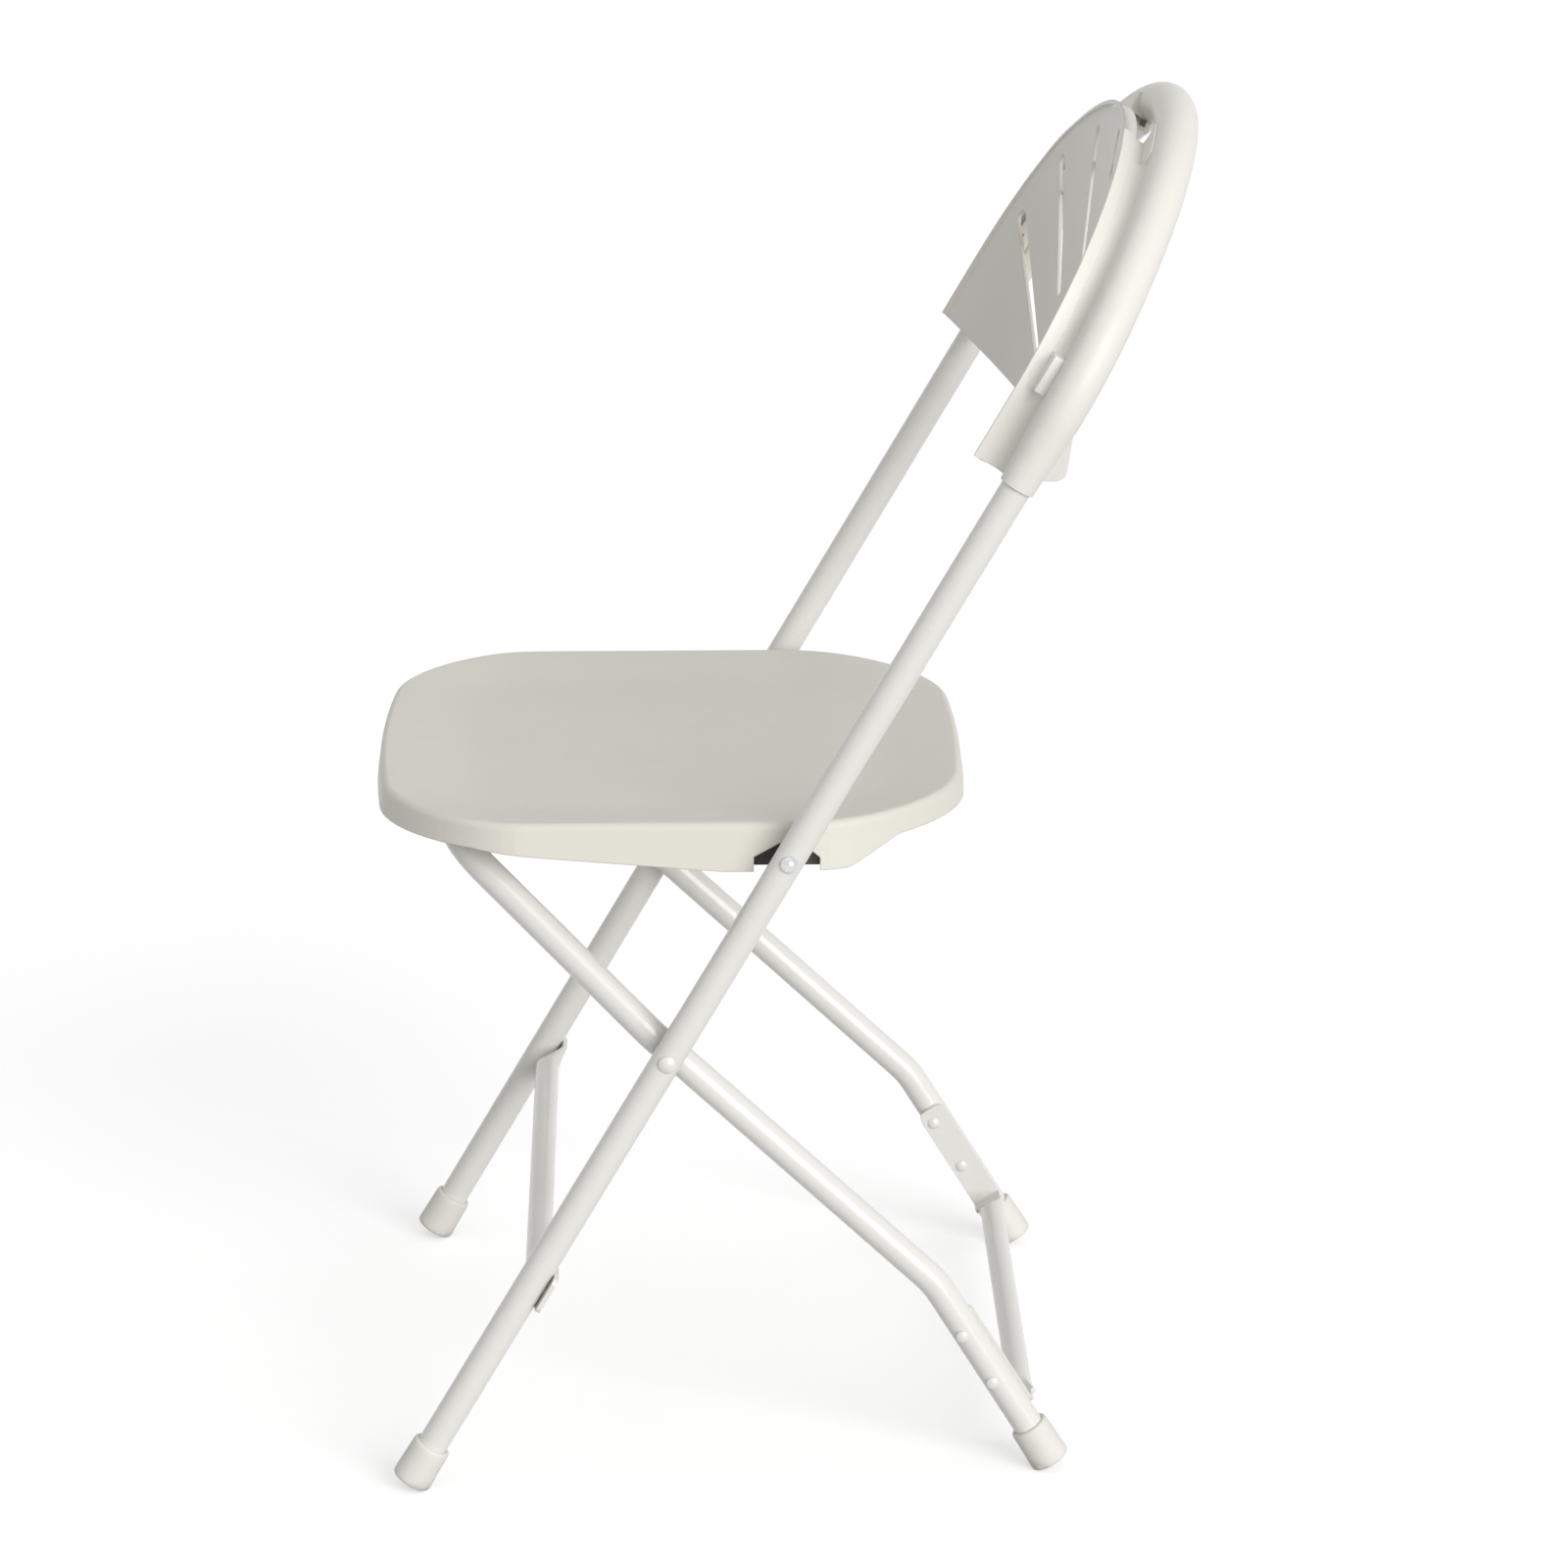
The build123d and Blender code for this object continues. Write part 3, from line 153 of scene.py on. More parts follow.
class BackSizes(bpy.types.PropertyGroup):
    """Outlines of the moulded back, measured up the posts from their feet, and its details."""

    pivot_at: length("Leg pivots", "Leg pivots, up the posts", 322.2)
    post_x: length("Posts", "Centre line of a post, from the middle", 220.0)
    sleeve_end: length("Sleeve end", "Lower end of the sleeves", 741.4)
    sleeve_radius: length("Sleeve radius", "Sleeves at their lower ends", 11.25)
    arch_radius: length("Arch radius", "Radius of the arch tube", 13.6)
    arch_spring: length("Arch spring", "Where the arch leaves the straight sleeves", 790.0)
    arch_top: length("Arch top", "Top of the arch's centre line", 958.0)
    arch_side: length("Arch shoulder", "Bend of the arch's shoulders", 112.0)
    fan_half: length("Fan half width", "Half the width of the fan", 202.0)
    fan_spring: length("Fan spring", "Where the fan's outline starts to bend in", 783.0)
    fan_top: length("Fan top", "Top of the fan's outline", 944.0)
    fan_side: length("Fan shoulder", "Bend of the fan's shoulders", 140.0)
    slot_focus: length("Slot focus", "The slots point here", 668.0)
    slot_low: length("Slots' lower inset", "From the outline in to the slots' lower ends", 97.0)
    slot_high: length("Slots' upper inset", "And to their upper ends", 18.0)
    slot_narrow: length("Slots, lower end", "Width of a slot at its lower end", 7.6)
    slot_wide: length("Slots, upper end", "Width of a slot at its upper end", 10.4)
    handle_half: length("Handle half length", "Half the length of the hand opening", 84.0)
    valley_radius: length("Valley", "Hollow between the lip and the arch", 8.0)
    scoop_more: length("Thumb scoop", "How much wider the hollow is beside the lock keys", 5.4)
    key_at: length("Keys", "Middle of the lock keys, up the posts", 808.0)
    key_length: length("Key length", "Length of a lock key", 25.0)


class StudioSettings(bpy.types.PropertyGroup):
    """Camera and light levels."""

    lens: level("Lens", "Focal length in millimetres", 137.25)
    camera_place: FloatVectorProperty(
        name="Camera", description="Place of the camera", default=(3.694, -0.0816, 1.5105), size=3,
        subtype="TRANSLATION")
    azimuth: degrees("Azimuth", "The way the camera looks, round the chair", 88.71)
    elevation: degrees("Elevation", "How steeply it looks down", 16.82)
    key_power: level("Key light", "Level of the soft side light", 2.14)
    fill_power: level("Top light", "Level of the overhead light", 0.13)
    sky: level("Sky", "Level of the surrounding light", 0.455)
    floor_size: level("Floor size", "Side of the floor in metres", 24.0)
    floor_light: level("Floor light", "Share of light that the floor throws back", 0.55)
    floor_shade: level("Floor shade", "The floor's grey, as seen", 0.8)
    floor_glow: level("Floor glow", "What lifts the seen floor towards white", 0.46)


def settings():
    scene = bpy.context.scene
    return scene.chair_colours, scene.chair_sizes, scene.chair_studio


def back_sizes():
    return bpy.context.scene.chair_back


# ---- finishes ----
def add_node(tree, kind, *outputs, **values):
    """Adds a node, links these outputs to its first inputs and sets the named inputs."""
    node = tree.nodes.new(kind)
    for number, output in enumerate(outputs):
        tree.links.new(output, node.inputs[number])
    for name, value in values.items():
        node.inputs[name].default_value = value
    return node


class Finish:
    """A procedural material on Object coordinates, built up from a few kinds of surface detail."""

    def __init__(self, name, colour, roughness, soft, metallic=0.0):
        self.material = bpy.data.materials.new(name)
        self.material.use_nodes = True
        self.links = self.material.node_tree.links
        self.surface = self.material.node_tree.nodes["Principled BSDF"]
        self.surface.inputs["Metallic"].default_value = metallic
        self.coords = self.node("ShaderNodeTexCoord").outputs["Object"]
        self.colour = self.node("ShaderNodeRGB").outputs[0]
        self.colour.default_value = (*colour, 1.0)
        self.roughness = roughness
        self.rough_parts = []
        self.ease_edges(soft)

    def node(self, kind, *outputs, **values):
        return add_node(self.material.node_tree, kind, *outputs, **values)

    def math(self, operation, first, second, clamp=False):
        """A sum of an output and a number or another output."""
        node = self.node("ShaderNodeMath", first)
        node.operation, node.use_clamp = operation, clamp
        if isinstance(second, float):
            node.inputs[1].default_value = second
        else:
            self.links.new(second, node.inputs[1])
        return node.outputs[0]

    def noise(self, scale, detail=3.0, stretch=(1, 1, 1), distortion=0.0):
        """Noise whose features are about 1 / scale metres wide; stretch lengthens them."""
        vector = self.node("ShaderNodeMapping", self.coords, Scale=stretch).outputs["Vector"]
        node = self.node(
            "ShaderNodeTexNoise", vector, Scale=scale, Detail=detail, Distortion=distortion)
        return node.outputs["Fac"]

    def spread(self, value, low, high, to_low=0.0, to_high=1.0):
        """Maps low to high of a value onto another range."""
        ends = {"From Min": low, "From Max": high, "To Min": to_low, "To Max": to_high}
        return self.node("ShaderNodeMapRange", value, **ends).outputs["Result"]

    def times(self, first, second):
        return self.math("MULTIPLY", first, second)

    def tinted(self, mask, colour):
        """Moves the colour towards another where the mask is high."""
        node = self.node("ShaderNodeMix")
        node.data_type = "RGBA"
        self.links.new(mask, node.inputs["Factor"])
        self.links.new(self.colour, node.inputs["A"])
        node.inputs["B"].default_value = (*colour, 1.0)
        self.colour = node.outputs["Result"]

    def mottled(self, noise, low, high, amount, colour):
        """Moves the colour by that amount towards another where the noise runs from low to high."""
        self.tinted(self.spread(noise, low, high, 0.0, amount), colour)

    def roughened(self, mask, amount):
        """Adds that much roughness where the mask is 1."""
        self.rough_parts.append(self.times(mask, amount))

    def ease_edges(self, radius):
        """Rounds sharp edges in the shading, and keeps a mask of them for worn chips and for edges
        painted lighter as a highlight.
        """
        bevel = self.node("ShaderNodeBevel", Radius=radius)
        bevel.samples = 4
        self.normal = bevel.outputs["Normal"]
        flat = self.node("ShaderNodeNewGeometry").outputs["Normal"]
        dot = self.node("ShaderNodeVectorMath", self.normal, flat)
        dot.operation = "DOT_PRODUCT"
        self.edges = self.spread(dot.outputs["Value"], 0.995, 0.9)

    def raised(self, height, depth, strength=1.0):
        """Adds relief: the height runs from 0 to 1 over the depth in metres."""
        bump = self.node("ShaderNodeBump", Strength=strength, Distance=depth)
        self.links.new(height, bump.inputs["Height"])
        self.links.new(self.normal, bump.inputs["Normal"])
        self.normal = bump.outputs["Normal"]

    def painted_corner_shade(self, reach, colour, amount):
        """Paints shade into the colour: darkens the corners that light hardly reaches, by ambient
        occlusion.
        """
        node = self.node("ShaderNodeAmbientOcclusion", Distance=reach)
        node.samples = 4
        self.mottled(node.outputs["AO"], 0.75, 0.2, amount, colour)

    def done(self):
        """Links colour, roughness and relief to the surface, and gives the material."""
        self.links.new(self.colour, self.surface.inputs["Base Color"])
        vary = 0.025
        base = self.spread(self.noise(90.0), 0.35, 0.65, self.roughness - vary, self.roughness + vary)
        for part in self.rough_parts:
            base = self.math("ADD", base, part, True)
        self.links.new(base, self.surface.inputs["Roughness"])
        self.links.new(self.normal, self.surface.inputs["Normal"])
        return self.material


def darker(colour, share):
    return tuple(value * share for value in colour)


def powder_coat(colour):
    """Gloss paint with a faint orange peel, dust specks and scuffs; its edges are painted lighter as a
    highlight, and shade is painted into its corners.
    """
    finish = Finish("powder_coat", colour, 0.24, 0.5 * MM)
    finish.mottled(finish.noise(7.0), 0.35, 0.7, 0.35, darker(colour, 0.94))
    finish.mottled(finish.noise(900.0, 1.0), 0.74, 0.8, 0.25, darker(colour, 0.7))
    scuffs = finish.spread(finish.noise(45.0, 6.0, (1, 1, 0.15), 0.6), 0.6, 0.75)
    finish.roughened(scuffs, 0.05)
    # painted highlight: the edges are painted lighter
    finish.tinted(finish.times(finish.edges, 0.4), darker(colour, 1.06))
    # painted shade: the corners are darkened where light hardly reaches
    finish.painted_corner_shade(4 * MM, darker(colour, 0.75), 0.35)
    finish.raised(finish.noise(420.0, 2.0), 0.05 * MM, 0.5)
    finish.surface.inputs["Coat Weight"].default_value = 0.25
    finish.surface.inputs["Coat Roughness"].default_value = 0.12
    return finish.done()


def moulded(name, colour, roughness, stipple, soft):
    """Satin polypropylene: fine stipple, flow marks, scuffs and softly rounded edges; the edges are
    painted lighter as a highlight, and shade is painted into the corners.
    """
    finish = Finish(name, colour, roughness, soft)
    finish.mottled(finish.noise(4.5, 2.0), 0.35, 0.7, 0.4, darker(colour, 0.95))
    warmer = (colour[0] * 0.97, colour[1] * 0.955, colour[2] * 0.92)
    finish.mottled(finish.noise(16.0, 4.0, (0.3, 1, 1), 1.4), 0.5, 0.8, 0.3, warmer)
    scuffs = finish.spread(finish.noise(60.0, 7.0, (1, 0.2, 0.6), 0.8), 0.62, 0.76)
    finish.roughened(scuffs, 0.14)
    # painted highlight: the edges are painted lighter
    finish.tinted(finish.times(finish.edges, 0.35), darker(colour, 1.05))
    # painted shade: the corners are darkened where light hardly reaches
    finish.painted_corner_shade(2 * MM, darker(colour, 0.9), 0.25)
    finish.raised(finish.noise(1300.0, 1.0), stipple, 0.6)
    finish.raised(finish.noise(22.0, 2.0), 0.25 * MM, 0.18)
    return finish.done()


def rubber(colour):
    """Moulded rubber with grime that climbs from the sole."""
    finish = Finish("foot_rubber", colour, 0.62, 0.6 * MM)
    finish.mottled(finish.noise(60.0, 4.0), 0.4, 0.7, 0.4, darker(colour, 0.93))
    height = finish.node("ShaderNodeSeparateXYZ", finish.coords).outputs["Z"]
    low = finish.spread(height, 9 * MM, 0.0)
    blotches = finish.spread(finish.noise(260.0, 6.0), 0.35, 0.65, 0.15, 0.7)
    grime = finish.times(low, blotches)
    finish.tinted(grime, (0.30, 0.28, 0.24))
    finish.roughened(grime, 0.2)
    # painted shade: the corners are darkened where light hardly reaches
    finish.painted_corner_shade(3 * MM, darker(colour, 0.7), 0.35)
    finish.raised(finish.noise(800.0, 3.0), 0.08 * MM, 0.5)
    return finish.done()


def nylon(colour):
    """Natural nylon, slightly waxy, with rubbed rings."""
    finish = Finish("nylon", colour, 0.42, 0.3 * MM)
    finish.mottled(finish.noise(150.0, 4.0), 0.4, 0.7, 0.5, darker(colour, 0.9))
    rubbed = finish.spread(finish.noise(500.0, 2.0, (1, 0.08, 0.08)), 0.5, 0.7)
    finish.roughened(rubbed, 0.15)
    # painted shade: the corners are darkened where light hardly reaches
    finish.painted_corner_shade(3 * MM, darker(colour, 0.5), 0.6)
    finish.raised(finish.noise(900.0, 2.0), 0.04 * MM, 0.5)
    return finish.done()


def black_paint(colour):
    """Satin black over pressed steel, chipped grey at the edges."""
    finish = Finish("black_steel", colour, 0.4, 0.5 * MM)
    finish.mottled(finish.noise(90.0, 4.0), 0.4, 0.7, 0.6, darker(colour, 1.9))
    chips = finish.times(finish.edges, finish.spread(finish.noise(420.0, 4.0), 0.52, 0.6))
    finish.tinted(chips, (0.34, 0.33, 0.31))
    finish.roughened(chips, 0.15)
    finish.mottled(finish.noise(30.0, 6.0, distortion=1.0), 0.58, 0.75, 0.3, (0.16, 0.15, 0.13))
    finish.raised(finish.noise(700.0, 3.0), 0.06 * MM, 0.6)
    return finish.done()


def plated(name, colour, roughness, grain):
    """Bright plating with a drawn grain and fine scratches."""
    finish = Finish(name, colour, roughness, 0.3 * MM, 1.0)
    finish.mottled(finish.noise(210.0, 5.0), 0.42, 0.7, 0.5, darker(colour, 0.78))
    scratches = finish.spread(finish.noise(700.0, 3.0, (1, 0.05, 1)), 0.55, 0.7)
    finish.roughened(scratches, grain)
    # painted shade: the corners are darkened where light hardly reaches
    finish.painted_corner_shade(2 * MM, darker(colour, 0.35), 0.7)
    finish.raised(finish.noise(900.0, 2.0, (1, 0.1, 1)), 0.01 * MM, 0.4)
    return finish.done()


def painted(piece, material):
    piece.data.materials.clear()
    piece.data.materials.append(material)


def dressed(material, *names):
    """Gives CAD nodes a finish."""
    for name in names:
        painted(frame["nodes"][name], material)


# ---- modelling by hand ----
def picked(piece):
    """Makes a piece the only one selected, and the active one."""
    bpy.ops.object.select_all(action="DESELECT")
    piece.select_set(True)
    bpy.context.view_layer.objects.active = piece


def started(add, name="", **how):
    """Adds a primitive with nothing else selected, and names it."""
    bpy.ops.object.select_all(action="DESELECT")
    add(**how)
    piece = bpy.context.object
    if name:
        piece.name = piece.data.name = name
    return piece


def opened(piece):
    """Opens a piece in edit mode with all of it selected."""
    picked(piece)
    bpy.ops.object.mode_set(mode="EDIT")
    bpy.ops.mesh.select_all(action="SELECT")


def closed():
    """Leaves edit mode."""
    bpy.ops.object.mode_set(mode="OBJECT")


def joined():
    """Joins the open piece's loose points, turns its faces outwards and closes it."""
    bpy.ops.mesh.select_all(action="SELECT")
    bpy.ops.mesh.remove_doubles(threshold=JOIN)
    bpy.ops.mesh.normals_make_consistent(inside=False)
    closed()


def applied():
    """Applies the picked piece's place to its mesh."""
    bpy.ops.object.transform_apply(location=True, rotation=True, scale=True)


def modified(piece, kind, **values):
    """Applies a modifier with these values to a piece."""
    picked(piece)
    modifier = piece.modifiers.new("shaping", kind)
    for name, value in values.items():
        setattr(modifier, name, value)
    bpy.ops.object.modifier_apply(modifier=modifier.name)


def turned(name, outline, segments=48):
    """A turned piece: an outline of radii and heights, drawn point by point and spun about Z."""
    radius, height = outline[0]
    piece = started(bpy.ops.mesh.primitive_plane_add, name, size=MM, location=ORIGIN)
    opened(piece)
    bpy.ops.mesh.merge(type="CENTER")
    bpy.ops.transform.translate(value=(radius, 0, height))
    for (radius, height), (next_radius, next_height) in zip(outline, outline[1:]):
        step = (next_radius - radius, 0, next_height - height)
        bpy.ops.mesh.extrude_region_move(TRANSFORM_OT_translate={"value": step})
    bpy.ops.mesh.select_all(action="SELECT")
    bpy.ops.mesh.spin(steps=segments, angle=math.tau, center=ORIGIN, axis=UPWARDS)
    joined()
    return piece


def dome(radius, rise, base=0.0, steps=8):
    """Outline of a domed head, from its rim to its top."""
    ball = (radius ** 2 + rise ** 2) / (2 * rise)
    reach = math.asin(min(radius / ball, 1.0))
    centre = base + rise - ball
    turns = [reach * (1 - step / steps) for step in range(steps + 1)]
    return [(ball * math.sin(turn), centre + ball * math.cos(turn)) for turn in turns]


def finished(piece, material, place=ORIGIN, along=UPWARDS, angle=35.0):
    """Smooths a piece, drawn round Z, and puts it at its place along an axis."""
    painted(piece, material)
    picked(piece)
    bpy.ops.object.shade_smooth_by_angle(angle=math.radians(angle))
    turn = UPWARDS.rotation_difference(along).to_matrix().to_4x4()
    piece.matrix_world = Matrix.Translation(place) @ turn
    applied()


def copied(piece, name):
    """A copy with its own mesh."""
    copy = piece.copy()
    copy.data = piece.data.copy()
    copy.name = copy.data.name = name
    bpy.context.scene.collection.objects.link(copy)
    return copy


def mirrored(piece, name):
    """The same piece on the other side of the chair, with its faces turned outwards again."""
    other = copied(piece, name)
    other.data.transform(Matrix.Diagonal((-1, 1, 1, 1)))
    opened(other)
    bpy.ops.mesh.flip_normals()
    closed()
    return other


def merged_copy(node, name):
    """A piece that starts as a CAD node's shape, with its loose triangles joined."""
    piece = copied(frame["nodes"][node], name)
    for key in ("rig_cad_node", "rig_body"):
        if key in piece:
            del piece[key]
    piece.parent = None
    opened(piece)
    bpy.ops.mesh.remove_doubles(threshold=JOIN)
    closed()
    bpy.ops.mesh.customdata_custom_splitnormals_clear()
    return piece


def smoothed(piece, angle=32.0):
    """Smooths a piece's surface across edges flatter than an angle, larger faces first."""
    picked(piece)
    bpy.ops.object.shade_smooth_by_angle(angle=math.radians(angle))
    modified(piece, "WEIGHTED_NORMAL", keep_sharp=True)


def fading(share):
    """Falls smoothly from 1 to 0 while the share rises from 0 to 1."""
    share = min(max(share, 0.0), 1.0)
    return (1 - share) ** 2 * (1 + 2 * share)


def sliced(piece, normal, offsets):
    """Cuts a piece's faces, without parting them, along planes at these offsets."""
    opened(piece)
    for offset in offsets:
        bpy.ops.mesh.select_all(action="SELECT")
        bpy.ops.mesh.bisect(plane_co=normal * offset, plane_no=normal, threshold=CUT_JOIN)
    closed()


def select_where(piece, test):
    """In edit mode, selects the vertices whose place passes the test."""
    bpy.ops.mesh.select_mode(type="VERT")
    bpy.ops.mesh.select_all(action="DESELECT")
    mesh = bmesh.from_edit_mesh(piece.data)
    for vertex in mesh.verts:
        vertex.select_set(test(vertex.co))
    mesh.select_flush(True)
    bmesh.update_edit_mesh(piece.data)


def set_frame(piece, x_axis, y_axis, z_axis, place):
    """Turns and moves a piece's mesh so that its axes lie along these directions."""
    turn = Matrix((x_axis, y_axis, z_axis)).transposed().to_4x4()
    piece.matrix_world = Matrix.Translation(place) @ turn
    picked(piece)
    applied()


def cut_out(piece, cutter):
    """Cuts the cutter out of the piece and removes it."""
    modified(piece, "BOOLEAN", object=cutter, solver="EXACT")
    bpy.data.objects.remove(cutter)


# ---- outlines of the back ----
SLOT_TURNS = tuple(math.radians(turn) for turn in (0, 17.5, -17.5, 34, -34, 48, -48))
CUTTER_FRONT = 0.09           # the slots' cutters start this far behind the posts' plane
CUTTER_LENGTH = 0.16          # and run this far forwards
CUTTER_STEPS = 10             # stretches of a slot's cutter that follow the panel's hollow
PAST_PANEL = 3.15 * MM        # from the panel's front to where the cutters stop
RAY_BACK = 0.3                # the panel is looked for from this far in front of a cutter's end
LIP_CUT = (9.0 * MM, 0.3 * MM)     # the hand opening, inside and outside the fan's outline
ARCH_CUT = (6.0 * MM, 0.12 * MM)   # and inside and outside the arch's inner side
HAND_FRONT, HAND_REAR = -20.0 * MM, 4.0 * MM   # and behind the posts' plane
FURTHEST = 0.45               # no slot ends further from the slots' focus
WIDEST_GAP = 0.04             # and no gap between the arch's centre line and the fan is wider
VALLEY_START = 0.6 * MM       # the valleys start this far above the sleeves' lower ends
VALLEY_TOP_X = 93.0 * MM      # and end this far from the middle
VALLEY_WALL = 1.4 * MM        # how thick they are
VALLEY_SINK = 0.03 * MM       # how far a valley's sides lie inside the fan and the arch
SCOOP_REACH = 15 * MM         # from the lock key to where the scoop has faded to about a third
KEY_WIDTH, KEY_DEPTH, KEY_EASE = 17 * MM, 7.6 * MM, 0.8 * MM
KEY_X = 203.5 * MM            # middle of a lock key, across
KEY_BEHIND = -16.2 * MM       # and behind the posts' plane


def on_posts(sizes, x, along, behind):
    """A point of the back: across, up the posts from their feet, and behind their plane."""
    base = LEG_PIVOT + POST_UP * (along - sizes.pivot_at) + BEHIND * behind
    return Vector((x, base.y, base.z))


def arch_of(half, spring, top, side):
    """Centre and radius of an arch's top arc, and the angle from the vertical where it ends."""
    rise, inner = top - spring, half - side
    top_radius = (inner ** 2 + rise ** 2 - side ** 2) / (2 * (rise - side))
    return top - top_radius, top_radius, math.atan2(inner, spring - top + top_radius)


def fan_inset(sizes, x, along):
    """How far a point lies inside the fan's outline."""
    centre, top_radius, turn = arch_of(sizes.fan_half, sizes.fan_spring, sizes.fan_top, sizes.fan_side)
    if along <= sizes.fan_spring:
        return sizes.fan_half - abs(x)
    if math.atan2(abs(x), along - centre) < turn:
        return top_radius - math.hypot(x, along - centre)
    past = abs(x) - sizes.fan_half + sizes.fan_side
    return sizes.fan_side - math.hypot(past, along - sizes.fan_spring)


def halved(low, high, test):
    """Where between the two numbers the test stops holding."""
    for _ in range(24):
        middle = (low + high) / 2
        low, high = (middle, high) if test(middle) else (low, middle)
    return low


def slot_reach(sizes, turn, inset):
    """From the slots' focus, along a slot, to where it is that far inside the outline."""
    def inside(reach):
        along = sizes.slot_focus + reach * math.cos(turn)
        return fan_inset(sizes, reach * math.sin(turn), along) > inset
    return halved(0.0, FURTHEST, inside)


def valley_path(sizes):
    """Gives what lies beside the valley at a share of its way from the sleeve's end to its top.

    That is the tube's centre, the direction towards the fan, the tube's radius, the gap from
    the centre to the fan's outline, and the centre's height up the posts.
    """
    centre, top_radius, turn = arch_of(sizes.post_x, sizes.arch_spring, sizes.arch_top, sizes.arch_side)
    shoulder = math.pi / 2 - turn
    last = turn - math.asin(VALLEY_TOP_X / top_radius)
    start = sizes.sleeve_end + VALLEY_START
    runs = (sizes.arch_spring - start, sizes.arch_side * shoulder, top_radius * last)

    def path(share):
        way = share * sum(runs)
        radius = sizes.arch_radius
        if way <= runs[0]:
            along = start + way
            rise = (along - sizes.sleeve_end) / (sizes.arch_spring - sizes.sleeve_end)
            radius = sizes.sleeve_radius + (sizes.arch_radius - sizes.sleeve_radius) * rise
            point, inwards = Vector((sizes.post_x, along)), Vector((-1, 0))
        elif way <= runs[0] + runs[1]:
            angle = (way - runs[0]) / sizes.arch_side
            outwards = Vector((math.cos(angle), math.sin(angle)))
            middle = Vector((sizes.post_x - sizes.arch_side, sizes.arch_spring))
            point, inwards = middle + outwards * sizes.arch_side, -outwards
        else:
            angle = turn - (way - runs[0] - runs[1]) / top_radius
            outwards = Vector((math.sin(angle), math.cos(angle)))
            point, inwards = Vector((0, centre)) + outwards * top_radius, -outwards

        def before(step):
            place = point + inwards * step
            return fan_inset(sizes, place.x, place.y) < 0

        return point, inwards, radius, halved(0.0, WIDEST_GAP, before), point.y
    return path


def hollow(roller, radius, gap, share):
    """A point, across and behind, of the arc that a roller leaves between the fan and the tube."""
    roller_in = gap - roller
    depth = math.sqrt((radius + roller) ** 2 - roller_in ** 2)
    last = math.atan2(depth, -roller_in)
    angle = share * last
    return roller_in + roller * math.cos(angle), -depth + roller * math.sin(angle)


def fitted(piece, body, slot, *nodes):
    """Ties a finished piece to its body and hides the CAD nodes that it stands for; the slot is not
    used.
    """
    if nodes:
        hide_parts(*nodes)
    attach(piece, body)


def solid_boxes(node, count):
    """Lower and upper corners of a node's separate solids, in the order of their middles."""
    mesh = frame["nodes"][node].data
    work = bmesh.new()
    work.from_mesh(mesh)
    bmesh.ops.remove_doubles(work, verts=work.verts, dist=JOIN)
    left, boxes = set(work.verts), []
    while left:
        start = left.pop()
        group, queue = [start], [start]
        while queue:
            for edge in queue.pop().link_edges:
                for vertex in edge.verts:
                    if vertex in left:
                        left.discard(vertex)
                        group.append(vertex)
                        queue.append(vertex)
        sides = list(zip(*(vertex.co for vertex in group)))
        boxes.append((Vector(map(min, sides)), Vector(map(max, sides))))
    work.free()
    if len(boxes) != count:
        raise RuntimeError(f"{node} has {len(boxes)} solids, not {count}")
    return sorted(boxes, key=lambda pair: tuple(round(value, 4) for value in (pair[0] + pair[1]) / 2))


# The seat is sliced where it is to be bowed: across, along, and down its skirt in millimetres.
SLICE, SLICES = 11 * MM, 18
BOW_STEPS = 12
RIM_SLICES = (5, 9, 13, 17, 22, 27)


# ---- operators ----
class PieceOperator(bpy.types.Operator):
    """Base of the chair's operators."""

    bl_options = {"REGISTER", "UNDO"}


class CHAIR_OT_paint_tubes(PieceOperator):
    """Powder coat on the posts, the rear leg frame and the braces"""

    bl_idname = "chair.paint_tubes"
    bl_label = "Paint the tubes"

    def execute(self, context):
        colours, _, _ = settings()
        tubes = ("post_left", "post_right", "rear_leg_frame", "rear_brace", "front_brace")
        dressed(powder_coat(colours.paint), *tubes)
        return {"FINISHED"}


